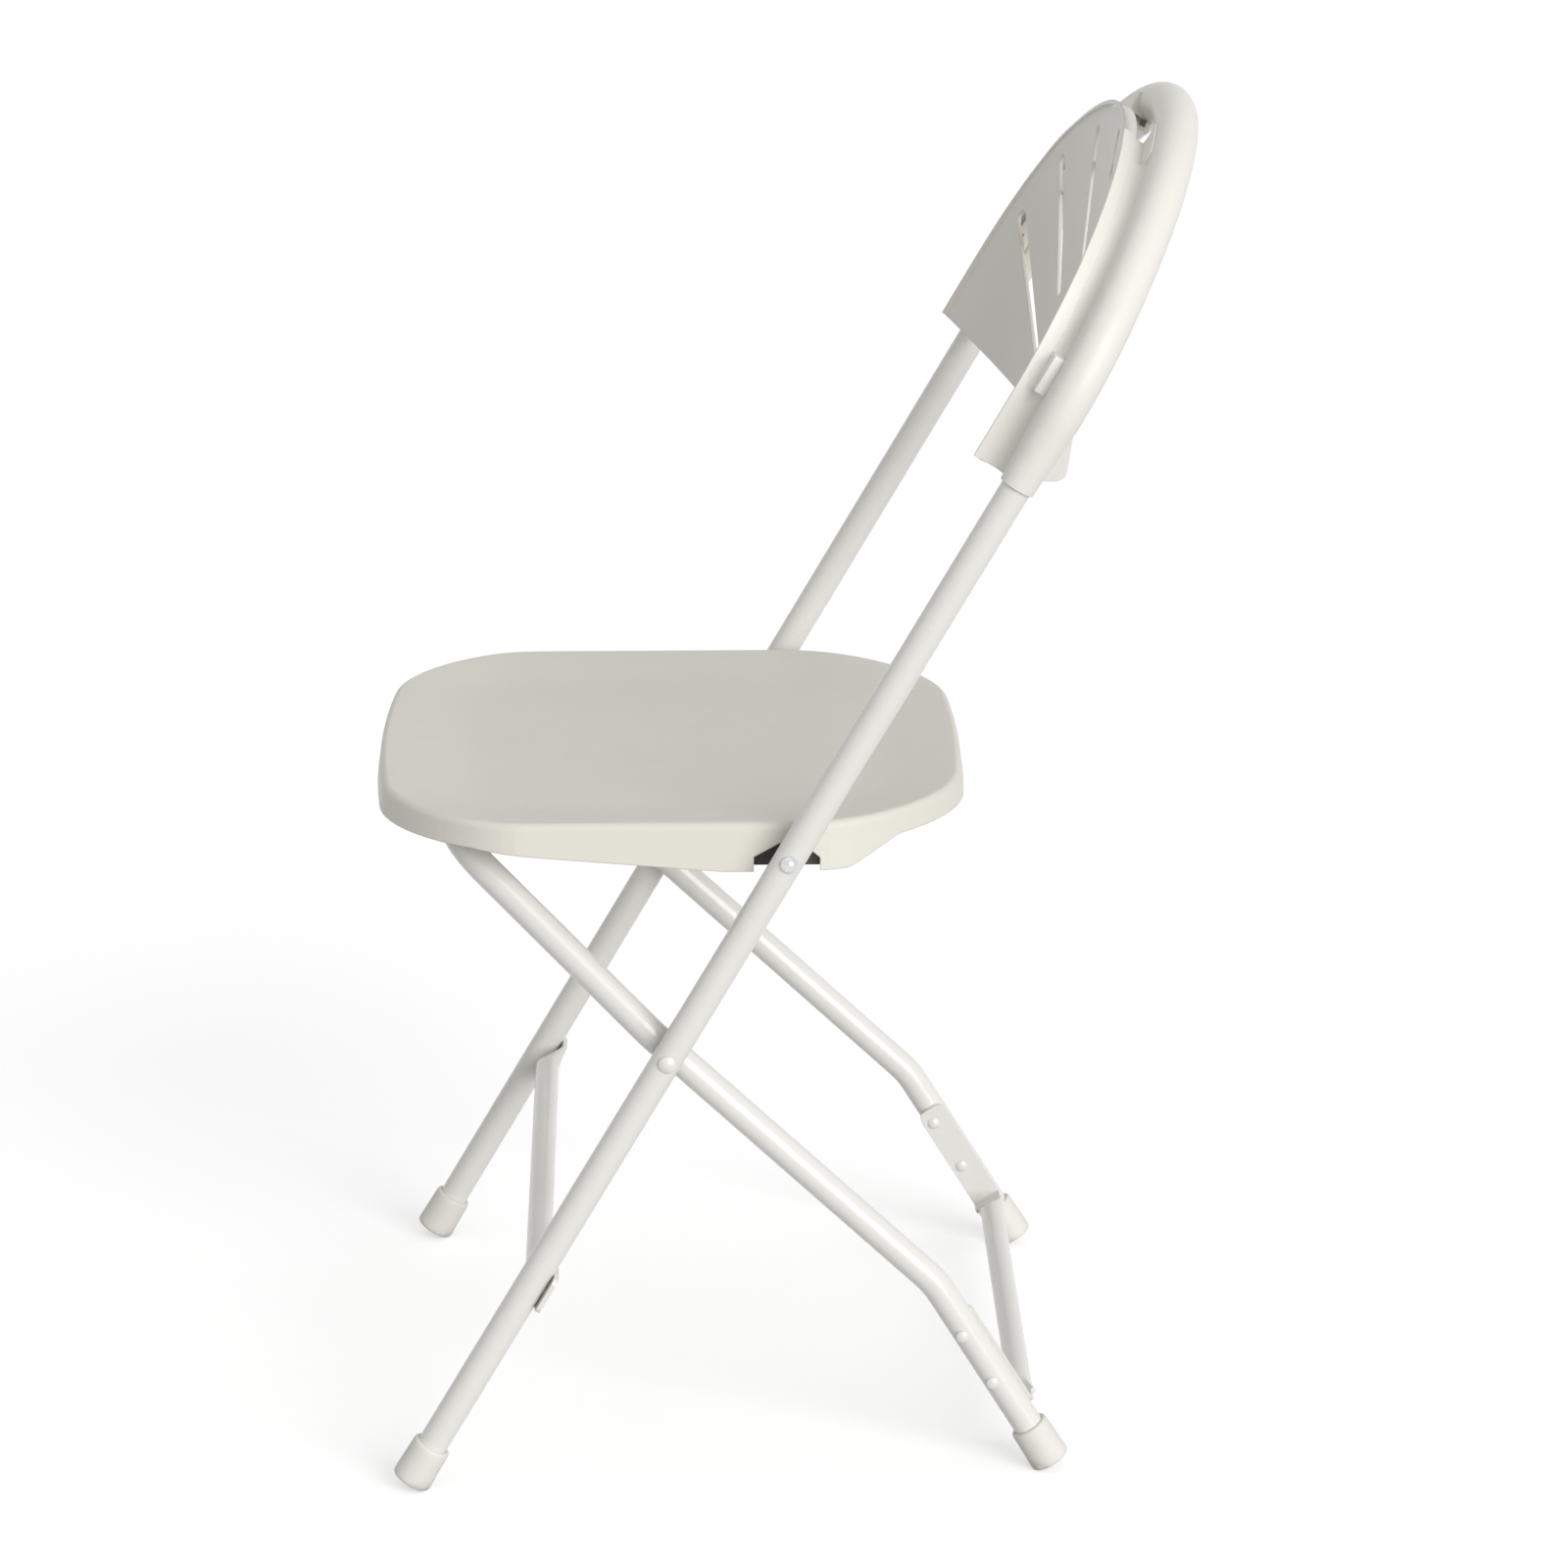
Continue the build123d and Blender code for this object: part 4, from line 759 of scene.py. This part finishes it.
class CHAIR_OT_mould_back(PieceOperator):
    """The moulded back, with wide slots, a long hand opening and soft hollows beside the arch"""

    bl_idname = "chair.mould_back"
    bl_label = "Mould the back"

    def execute(self, context):
        colours, _, _ = settings()
        sizes = back_sizes()
        plastic = moulded("back_plastic", colours.back, 0.42, 0.035 * MM, 0.8 * MM)
        back = merged_copy("backrest", "fan_back")
        for turn in SLOT_TURNS:
            slot = self.slot(sizes, turn)
            self.stop_behind_sheet(back, slot)
            cut_out(back, slot)
        fan = arch_of(sizes.fan_half, sizes.fan_spring, sizes.fan_top, sizes.fan_side)
        arch = arch_of(sizes.post_x, sizes.arch_spring, sizes.arch_top, sizes.arch_side)
        cut_out(back, self.hand_opening(sizes, fan, fan[1], LIP_CUT))
        cut_out(back, self.hand_opening(sizes, arch, arch[1] - sizes.arch_radius, ARCH_CUT))
        smoothed(back)
        painted(back, plastic)
        fitted(back, "back_frame", "back_plastic", "backrest")
        valley = self.valley(sizes)
        finished(valley, plastic, angle=60.0)
        other = mirrored(valley, "back_valley_right")
        for piece in (valley, other):
            fitted(piece, "back_frame", "back_plastic")
        # the keys' plastic is made lighter than the back's: a painted highlight
        bright = moulded("key_plastic", colours.key, 0.3, 0.01 * MM, 0.5 * MM)
        key = self.lock_key(sizes)
        finished(key, bright, angle=40.0)
        other = mirrored(key, "lock_key_right")
        fitted(key, "back_frame", "key_plastic", "back_lock_key_left")
        fitted(other, "back_frame", "key_plastic", "back_lock_key_right")
        return {"FINISHED"}

    def slot(self, sizes, turn):
        """Cutter of one slot: a disc whose upper half is drawn out along the slot and widened."""
        start = slot_reach(sizes, turn, sizes.slot_low)
        run = slot_reach(sizes, turn, sizes.slot_high) - start
        piece = started(
            bpy.ops.mesh.primitive_circle_add, vertices=28, radius=sizes.slot_narrow / 2,
            fill_type="NGON")
        bpy.ops.object.mode_set(mode="EDIT")
        select_where(piece, lambda place: place.y > 0.01 * MM)
        bpy.ops.transform.translate(value=(0, run, 0))
        wider = sizes.slot_wide / sizes.slot_narrow
        bpy.ops.transform.resize(value=(wider, wider, 1), center_override=(0, run, 0))
        bpy.ops.mesh.select_all(action="SELECT")
        bpy.ops.mesh.extrude_region_move(TRANSFORM_OT_translate={"value": UPWARDS * CUTTER_LENGTH})
        joined()
        sliced(piece, BACKWARDS, [run * step / CUTTER_STEPS for step in range(CUTTER_STEPS + 1)])
        along = ACROSS * math.sin(turn) + POST_UP * math.cos(turn)
        place = on_posts(sizes, 0, sizes.slot_focus, CUTTER_FRONT) + along * start
        set_frame(piece, along.cross(-BEHIND), along, -BEHIND, place)
        return piece

    def stop_behind_sheet(self, back, cutter):
        """Moves the cutter's rear end to just behind the panel, so that the rib there stays whole."""
        depths = [vertex.co.dot(BEHIND) for vertex in cutter.data.vertices]
        middle = sum(depths) / len(depths)
        for vertex, depth in zip(cutter.data.vertices, depths):
            if depth > middle:
                hit, place, _, _ = back.ray_cast(vertex.co - BEHIND * RAY_BACK, BEHIND)
                if hit:
                    vertex.co = place + BEHIND * PAST_PANEL

    def hand_opening(self, sizes, arc, radius, cut):
        """Cutter of the hand opening: a block swung round an arc's centre, inside and past a radius."""
        reach = math.asin(sizes.handle_half / arc[1])
        low, high = radius - cut[0], radius + cut[1]
        middle = (0, (low + high) / 2, (HAND_FRONT + HAND_REAR) / 2)
        piece = started(bpy.ops.mesh.primitive_plane_add, size=1, location=middle)
        opened(piece)
        bpy.ops.transform.rotate(value=math.pi / 2, orient_axis="Y", center_override=middle)
        size = (1, high - low, HAND_REAR - HAND_FRONT)
        bpy.ops.transform.resize(value=size, center_override=middle)
        bpy.ops.transform.rotate(value=reach, orient_axis="Z", center_override=ORIGIN)
        bpy.ops.mesh.spin(steps=40, angle=2 * reach, center=ORIGIN, axis=UPWARDS)
        joined()
        applied()
        set_frame(piece, -ACROSS, POST_UP, BEHIND, on_posts(sizes, 0, arc[0], 0))
        return piece

    def valley(self, sizes):
        """Hollow that runs up beside the sleeve and round the arch's shoulder, past a thumb scoop."""
        piece = started(
            bpy.ops.mesh.primitive_grid_add, "back_valley_left", x_subdivisions=120, y_subdivisions=12,
            size=1)
        path = valley_path(sizes)
        for vertex in piece.data.vertices:
            point, inwards, radius, gap, along = path(vertex.co.x + 0.5)
            near_key = math.exp(-((along - sizes.key_at) / SCOOP_REACH) ** 2)
            roller = sizes.valley_radius + sizes.scoop_more * near_key
            across, behind = hollow(
                roller, radius - VALLEY_SINK, gap + VALLEY_SINK, vertex.co.y + 0.5)
            flat = point + inwards * across
            vertex.co = on_posts(sizes, flat.x, flat.y, behind)
        piece.data.update()
        opened(piece)
        middle = piece.data.polygons[len(piece.data.polygons) // 2]
        if (middle.normal.x < 0) == (middle.center.x > 0):
            bpy.ops.mesh.flip_normals()
        closed()
        modified(piece, "SOLIDIFY", thickness=VALLEY_WALL, offset=-1.0)
        return piece

    def lock_key(self, sizes):
        """A rounded tab that stands out of the thumb scoop."""
        size = (KEY_WIDTH, KEY_DEPTH, sizes.key_length)
        piece = started(bpy.ops.mesh.primitive_cube_add, "lock_key_left", size=1, scale=size)
        applied()
        modified(piece, "BEVEL", width=KEY_EASE, segments=3, limit_method="ANGLE")
        place = on_posts(sizes, KEY_X, sizes.key_at, KEY_BEHIND)
        set_frame(piece, ACROSS, BEHIND, POST_UP, place)
        return piece


class CHAIR_OT_mould_seat(PieceOperator):
    """The moulded seat, with its front and rear edges bowed"""

    bl_idname = "chair.mould_seat"
    bl_label = "Mould the seat"

    def execute(self, context):
        colours, sizes, _ = settings()
        # the seat's colour is darker than the back's plastic: painted shade
        plastic = moulded("seat_plastic", colours.seat, 0.46, 0.05 * MM, 1.2 * MM)
        seat = merged_copy("seat_pan", "seat_shell")
        low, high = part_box("seat_pan")
        sliced(seat, ACROSS, [number * SLICE for number in range(-SLICES, SLICES + 1)])
        ends = [step / BOW_STEPS * sizes.bow_reach for step in range(BOW_STEPS + 1)]
        sliced(seat, BACKWARDS, [low.y + end for end in ends] + [high.y - end for end in ends])
        sliced(seat, UPWARDS, [high.z - drop * MM for drop in RIM_SLICES])
        smoothed(seat)
        for vertex in seat.data.vertices:
            place = vertex.co
            out = (place.x / high.x) ** 2
            place.y += out * sizes.front_bow * fading((place.y - low.y) / sizes.bow_reach)
            place.y -= out * sizes.rear_bow * fading((high.y - place.y) / sizes.bow_reach)
        painted(seat, plastic)
        fitted(seat, "seat", "seat_plastic", "seat_pan")
        return {"FINISHED"}


class CHAIR_OT_set_rivets(PieceOperator):
    """Domed rivets at the leg pivots and through the braces' ends"""

    bl_idname = "chair.set_rivets"
    bl_label = "Set the rivets"

    def execute(self, context):
        _, sizes, _ = settings()
        coat = bpy.data.materials["powder_coat"]
        low, high = solid_boxes("leg_pivot_rivets", 2)[1]
        grip = high.x - low.x - 2 * sizes.rivet_rise
        shape = (sizes.rivet_radius, grip, sizes.rivet_head, sizes.rivet_rise)
        pivot = self.rivet("leg_pivot_rivet_left", *shape)
        finished(pivot, coat, (low.x + sizes.rivet_rise, LEG_PIVOT.y, LEG_PIVOT.z), ACROSS)
        other = mirrored(pivot, "leg_pivot_rivet_right")
        for piece in (pivot, other):
            fitted(piece, "back_frame", "tube_paint", "leg_pivot_rivets")
        self.brace_rivets("front_brace_rivets", 2, "back_frame", BEHIND, coat)
        self.brace_rivets("rear_brace_rivets", 4, "rear_legs", ACROSS, coat)
        return {"FINISHED"}

    def rivet(self, name, radius, grip, head, rise):
        """One rivet along Z: domed heads, with a small flat rim, past both ends of the grip."""
        rim = 0.12 * rise
        upper = [(x, z + grip) for x, z in dome(head, rise - rim, rim)]
        lower = [(x, -z) for x, z in reversed(dome(head, rise - rim, rim))]
        outline = lower + [(head, 0), (radius, 0), (radius, grip), (head, grip)] + upper
        return turned(name, outline, 40)

    def brace_rivets(self, node, count, body, along, coat):
        """The rivets of one brace, each in the middle of its solid's box."""
        _, sizes, _ = settings()
        for number, (low, high) in enumerate(solid_boxes(node, count), 1):
            middle = (low + high) / 2
            grip = self.reach(low, high, along, sizes.small_head) - 2 * sizes.small_rise
            shape = (sizes.small_radius, grip, sizes.small_head, sizes.small_rise)
            piece = self.rivet(f"{node}_{number}", *shape)
            finished(piece, coat, middle - along * grip / 2, along)
            fitted(piece, body, "tube_paint", node)

    def reach(self, low, high, along, head):
        """Length of a rivet along its axis, from its box."""
        if abs(along.x) > 0.9:
            return high.x - low.x
        across = head * 2 * abs(along.z)
        return (high.y - low.y - across) / abs(along.y)


class CHAIR_OT_set_bolts(PieceOperator):
    """Chrome dome-head bolts at the seat pivots, with threaded tips"""

    bl_idname = "chair.set_bolts"
    bl_label = "Set the seat bolts"

    def execute(self, context):
        colours, sizes, _ = settings()
        chrome = plated("chrome", colours.chrome, 0.07, 0.1)
        low, high = solid_boxes("seat_bolts", 2)[1]
        shank = high.x - low.x - sizes.bolt_rise
        radius, root = sizes.bolt_radius, sizes.bolt_radius - 0.35 * MM
        pitch, threads, tip, rim = 0.9 * MM, 10, 0.4 * MM, 0.3 * MM
        outline = [(0, -shank), (root - tip, -shank), (root, -shank + tip)]
        for number in range(threads):
            start = -shank + tip + number * pitch
            outline += [(radius, start + 0.4 * pitch), (radius, start + 0.55 * pitch)]
            outline.append((root, start + pitch))
        outline += [(radius, outline[-1][1] + rim), (radius, 0), (sizes.bolt_head - rim, 0)]
        outline += dome(sizes.bolt_head, sizes.bolt_rise - rim, rim, 14)
        bolt = turned("seat_bolt_left", outline, 48)
        finished(bolt, chrome, (low.x + shank, SEAT_PIVOT.y, SEAT_PIVOT.z), ACROSS)
        other = mirrored(bolt, "seat_bolt_right")
        for piece in (bolt, other):
            fitted(piece, "back_frame", "chrome", "seat_bolts")
        dressed(chrome, "seat_bolt_nuts")
        return {"FINISHED"}


class CHAIR_OT_fit_brackets(PieceOperator):
    """Black seat brackets, zinc bar hooks and the cross-head screws that hold them"""

    bl_idname = "chair.fit_brackets"
    bl_label = "Fit the brackets"

    def execute(self, context):
        colours, sizes, _ = settings()
        dressed(black_paint(colours.black), "seat_bracket_left", "seat_bracket_right")
        zinc = plated("zinc_steel", colours.zinc, 0.32, 0.2)
        dressed(zinc, "bar_hook_left", "bar_hook_right")
        boxes = solid_boxes("seat_screws", 6)
        low, high = boxes[0]
        first = self.screw(high.z - low.z - sizes.screw_rise)
        for number, (low, high) in enumerate(boxes, 1):
            piece = copied(first, f"seat_screw_{number}")
            middle = (low + high) / 2
            finished(piece, zinc, (middle.x, middle.y, low.z + sizes.screw_rise))
            fitted(piece, "seat", "zinc_steel", "seat_screws")
        bpy.data.objects.remove(first)
        return {"FINISHED"}

    def screw(self, shank):
        """A screw that points up: threads over its seat, and a cross recess in its head under it."""
        _, sizes, _ = settings()
        head, rise = sizes.screw_head, sizes.screw_rise
        radius, root = sizes.screw_radius, sizes.screw_radius - 0.5 * MM
        rim, pitch, plain, tip = 0.4 * MM, 1.3 * MM, 2.5 * MM, 0.8 * MM
        lower = [(x, -z) for x, z in reversed(dome(head, rise - rim, rim, 6))]
        outline = lower + [(head, 0), (radius, 0), (radius, plain)]
        while outline[-1][1] + pitch < shank - 1.5 * MM:
            start = outline[-1][1]
            outline += [(root, start + 0.3 * pitch), (root, start + 0.7 * pitch)]
            outline.append((radius, start + pitch))
        outline += [(root, shank - tip), (0, shank)]
        piece = turned("seat_screw", outline, 32)
        arm, groove, depth = 3.6 * MM, 0.9 * MM, 2.4 * MM
        for size in ((groove, arm, depth), (arm, groove, depth)):
            cutter = started(
                bpy.ops.mesh.primitive_cube_add, size=1, location=(0, 0, -rise), scale=size)
            applied()
            cut_out(piece, cutter)
        return piece


class CHAIR_OT_fit_nylon(PieceOperator):
    """Nylon washers, bushes and glides between the moving parts"""

    bl_idname = "chair.fit_nylon"
    bl_label = "Fit the nylon pieces"

    def execute(self, context):
        colours, _, _ = settings()
        dressed(nylon(colours.nylon), "leg_spacers", "seat_bolt_bushes", "bar_glides")
        return {"FINISHED"}


class CHAIR_OT_fit_feet(PieceOperator):
    """Rubber caps with a rolled mouth and a worn sole"""

    bl_idname = "chair.fit_feet"
    bl_label = "Fit the feet"

    def execute(self, context):
        colours, sizes, _ = settings()
        material = rubber(colours.rubber)
        low, high = solid_boxes("front_foot_caps", 2)[1]
        rise = sizes.foot_height
        foot = LEG_PIVOT + POST_UP * ((rise - LEG_PIVOT.z) / POST_UP.z)
        foot.x = (low.x + high.x) / 2
        self.pair("front_foot_cap", foot, POST_UP, "back_frame", "front_foot_caps", material)
        low, high = solid_boxes("rear_foot_caps", 2)[1]
        up = Vector((0, -math.sin(sizes.rear_lean), math.cos(sizes.rear_lean)))
        mounts = frame["record"]["mounts"]
        mount = next(mount for mount in mounts if mount["name"] == "rear_left_foot")
        rear = mount["pos_m"][1] + sizes.rear_foot_behind
        foot = Vector(((low.x + high.x) / 2, rear, sizes.rear_foot_height))
        self.pair("rear_foot_cap", foot, up, "rear_legs", "rear_foot_caps", material)
        return {"FINISHED"}

    def pair(self, name, foot, up, body, node, material):
        """Two caps whose soles are cut flat at the floor."""
        left = self.cap(f"{name}_left")
        finished(left, material, foot, up, 50.0)
        opened(left)
        bpy.ops.mesh.bisect(
            plane_co=ORIGIN, plane_no=UPWARDS, clear_inner=True, use_fill=True, threshold=CUT_JOIN)
        closed()
        right = mirrored(left, f"{name}_right")
        for piece in (left, right):
            fitted(piece, body, "foot_rubber", node)

    def cap(self, name):
        """A hollow cap on Z, that widens to a rounded foot, with a rolled edge at its mouth."""
        _, sizes, _ = settings()
        bore, top, floor = sizes.cap_bore, sizes.cap_length, 4 * MM
        sole = [(0, 0), (10.7, 0), (11.9, 0.45), (12.5, 1.2), (12.75, 2.4), (12.74, 5.0)]
        wall = [(12.6, 10.0), (12.45, 16.0), (12.3, 22.0), (12.2, 26.4)]
        mouth = [(11.95, 27.3), (11.5, 27.8), (10.9, 28.0)]
        outline = [(radius * MM, height * MM) for radius, height in sole + wall + mouth]
        outline += [(bore, top), (bore, floor), (0, floor)]
        return turned(name, outline, 64)


class CHAIR_OT_build_studio(PieceOperator):
    """White floor, soft lights and the camera"""

    bl_idname = "chair.build_studio"
    bl_label = "Build the studio"

    def execute(self, context):
        _, _, studio = settings()
        self.floor(studio)
        self.sky(context.scene, studio)
        self.lamp("key_light", (2.6, 1.56, 1.09), 42, studio.key_power)
        self.lamp("top_light", (0.3, 0.2, 3.0), 70, studio.fill_power)
        self.camera(context.scene, studio)
        context.scene.view_settings.view_transform = "Standard"
        return {"FINISHED"}

    def seen(self, tree):
        """1 for what the camera, a reflection or a clear material sees."""
        path = add_node(tree, "ShaderNodeLightPath")
        total = path.outputs["Is Camera Ray"]
        for name in ("Is Glossy Ray", "Is Transmission Ray"):
            node = add_node(tree, "ShaderNodeMath", total, path.outputs[name])
            node.operation = "MAXIMUM"
            total = node.outputs[0]
        return total

    def split(self, tree, unseen, seen, kind):
        """Shows one shader to the camera and another to the light that goes round the room."""
        mix = add_node(
            tree, "ShaderNodeMixShader", self.seen(tree), unseen.outputs[0], seen.outputs[0])
        add_node(tree, kind, mix.outputs[0])

    def emptied(self, block):
        """The node tree of a material or world, without its first nodes."""
        block.use_nodes = True
        block.node_tree.nodes.clear()
        return block.node_tree

    def floor(self, studio):
        place = (0, 0, -0.2 * MM)
        floor = started(
            bpy.ops.mesh.primitive_plane_add, "studio_floor", size=studio.floor_size, location=place)
        material = bpy.data.materials.new("studio_floor")
        tree = self.emptied(material)
        grey, bright = studio.floor_light, studio.floor_shade
        plain = add_node(tree, "ShaderNodeBsdfDiffuse", Color=(grey, grey, grey, 1))
        shaded = add_node(tree, "ShaderNodeBsdfDiffuse", Color=(bright, bright, bright, 1))
        glow = add_node(tree, "ShaderNodeEmission", Strength=studio.floor_glow)
        both = add_node(tree, "ShaderNodeAddShader", shaded.outputs[0], glow.outputs[0])
        self.split(tree, plain, both, "ShaderNodeOutputMaterial")
        floor.data.materials.append(material)

    def sky(self, scene, studio):
        scene.world = bpy.data.worlds.new("studio_world")
        tree = self.emptied(scene.world)
        white = (1, 1, 1, 1)
        light = add_node(tree, "ShaderNodeBackground", Color=white, Strength=studio.sky)
        shown = add_node(tree, "ShaderNodeBackground", Color=white, Strength=1.0)
        self.split(tree, light, shown, "ShaderNodeOutputWorld")

    def lamp(self, name, place, spread, power):
        """A wide, soft sun that shines from the place towards the chair."""
        bpy.ops.object.light_add(type="SUN", location=place)
        lamp = bpy.context.object
        lamp.name = name
        lamp.data.angle = math.radians(spread)
        lamp.data.energy = power
        lamp.rotation_mode = "QUATERNION"
        lamp.rotation_quaternion = (-Vector(place)).to_track_quat("-Z", "Y")

    def camera(self, scene, studio):
        bpy.ops.object.camera_add(location=studio.camera_place)
        camera = bpy.context.object
        azimuth, elevation = studio.azimuth, studio.elevation
        look = Vector((
            -math.sin(azimuth) * math.cos(elevation), math.cos(azimuth) * math.cos(elevation),
            -math.sin(elevation)))
        camera.rotation_mode = "QUATERNION"
        camera.rotation_quaternion = look.to_track_quat("-Z", "Y")
        camera.data.lens = studio.lens
        camera.data.sensor_width = 36.0
        camera.data.clip_end = 60.0
        scene.camera = camera


OPERATORS = (
    CHAIR_OT_paint_tubes, CHAIR_OT_mould_back, CHAIR_OT_mould_seat, CHAIR_OT_set_rivets,
    CHAIR_OT_set_bolts, CHAIR_OT_fit_brackets, CHAIR_OT_fit_nylon, CHAIR_OT_fit_feet,
    CHAIR_OT_build_studio,
)


class VIEW3D_PT_chair(bpy.types.Panel):
    """Lists the chair's operators and settings"""

    bl_label = "Folding chair"
    bl_idname = "VIEW3D_PT_chair"
    bl_space_type = "VIEW_3D"
    bl_region_type = "UI"
    bl_category = "Chair"

    def draw(self, context):
        for operator in OPERATORS:
            self.layout.operator(operator.bl_idname)
        for group in (*settings(), back_sizes()):
            for name in group.bl_rna.properties.keys():
                if name not in ("rna_type", "name"):
                    self.layout.prop(group, name)


GROUPS = {
    "chair_colours": ChairColours, "chair_sizes": ChairSizes, "chair_back": BackSizes,
    "chair_studio": StudioSettings,
}
CLASSES = (*GROUPS.values(), *OPERATORS, VIEW3D_PT_chair)


def register():
    for item in CLASSES:
        bpy.utils.register_class(item)
    for name, group in GROUPS.items():
        setattr(bpy.types.Scene, name, PointerProperty(type=group))


def unregister():
    for name in GROUPS:
        delattr(bpy.types.Scene, name)
    for item in reversed(CLASSES):
        bpy.utils.unregister_class(item)


def main():
    register()
    bpy.ops.chair.paint_tubes()
    bpy.ops.chair.mould_back()
    bpy.ops.chair.mould_seat()
    bpy.ops.chair.set_rivets()
    bpy.ops.chair.set_bolts()
    bpy.ops.chair.fit_brackets()
    bpy.ops.chair.fit_nylon()
    bpy.ops.chair.fit_feet()
    bpy.ops.chair.build_studio()


if __name__ == "__main__":
    main()
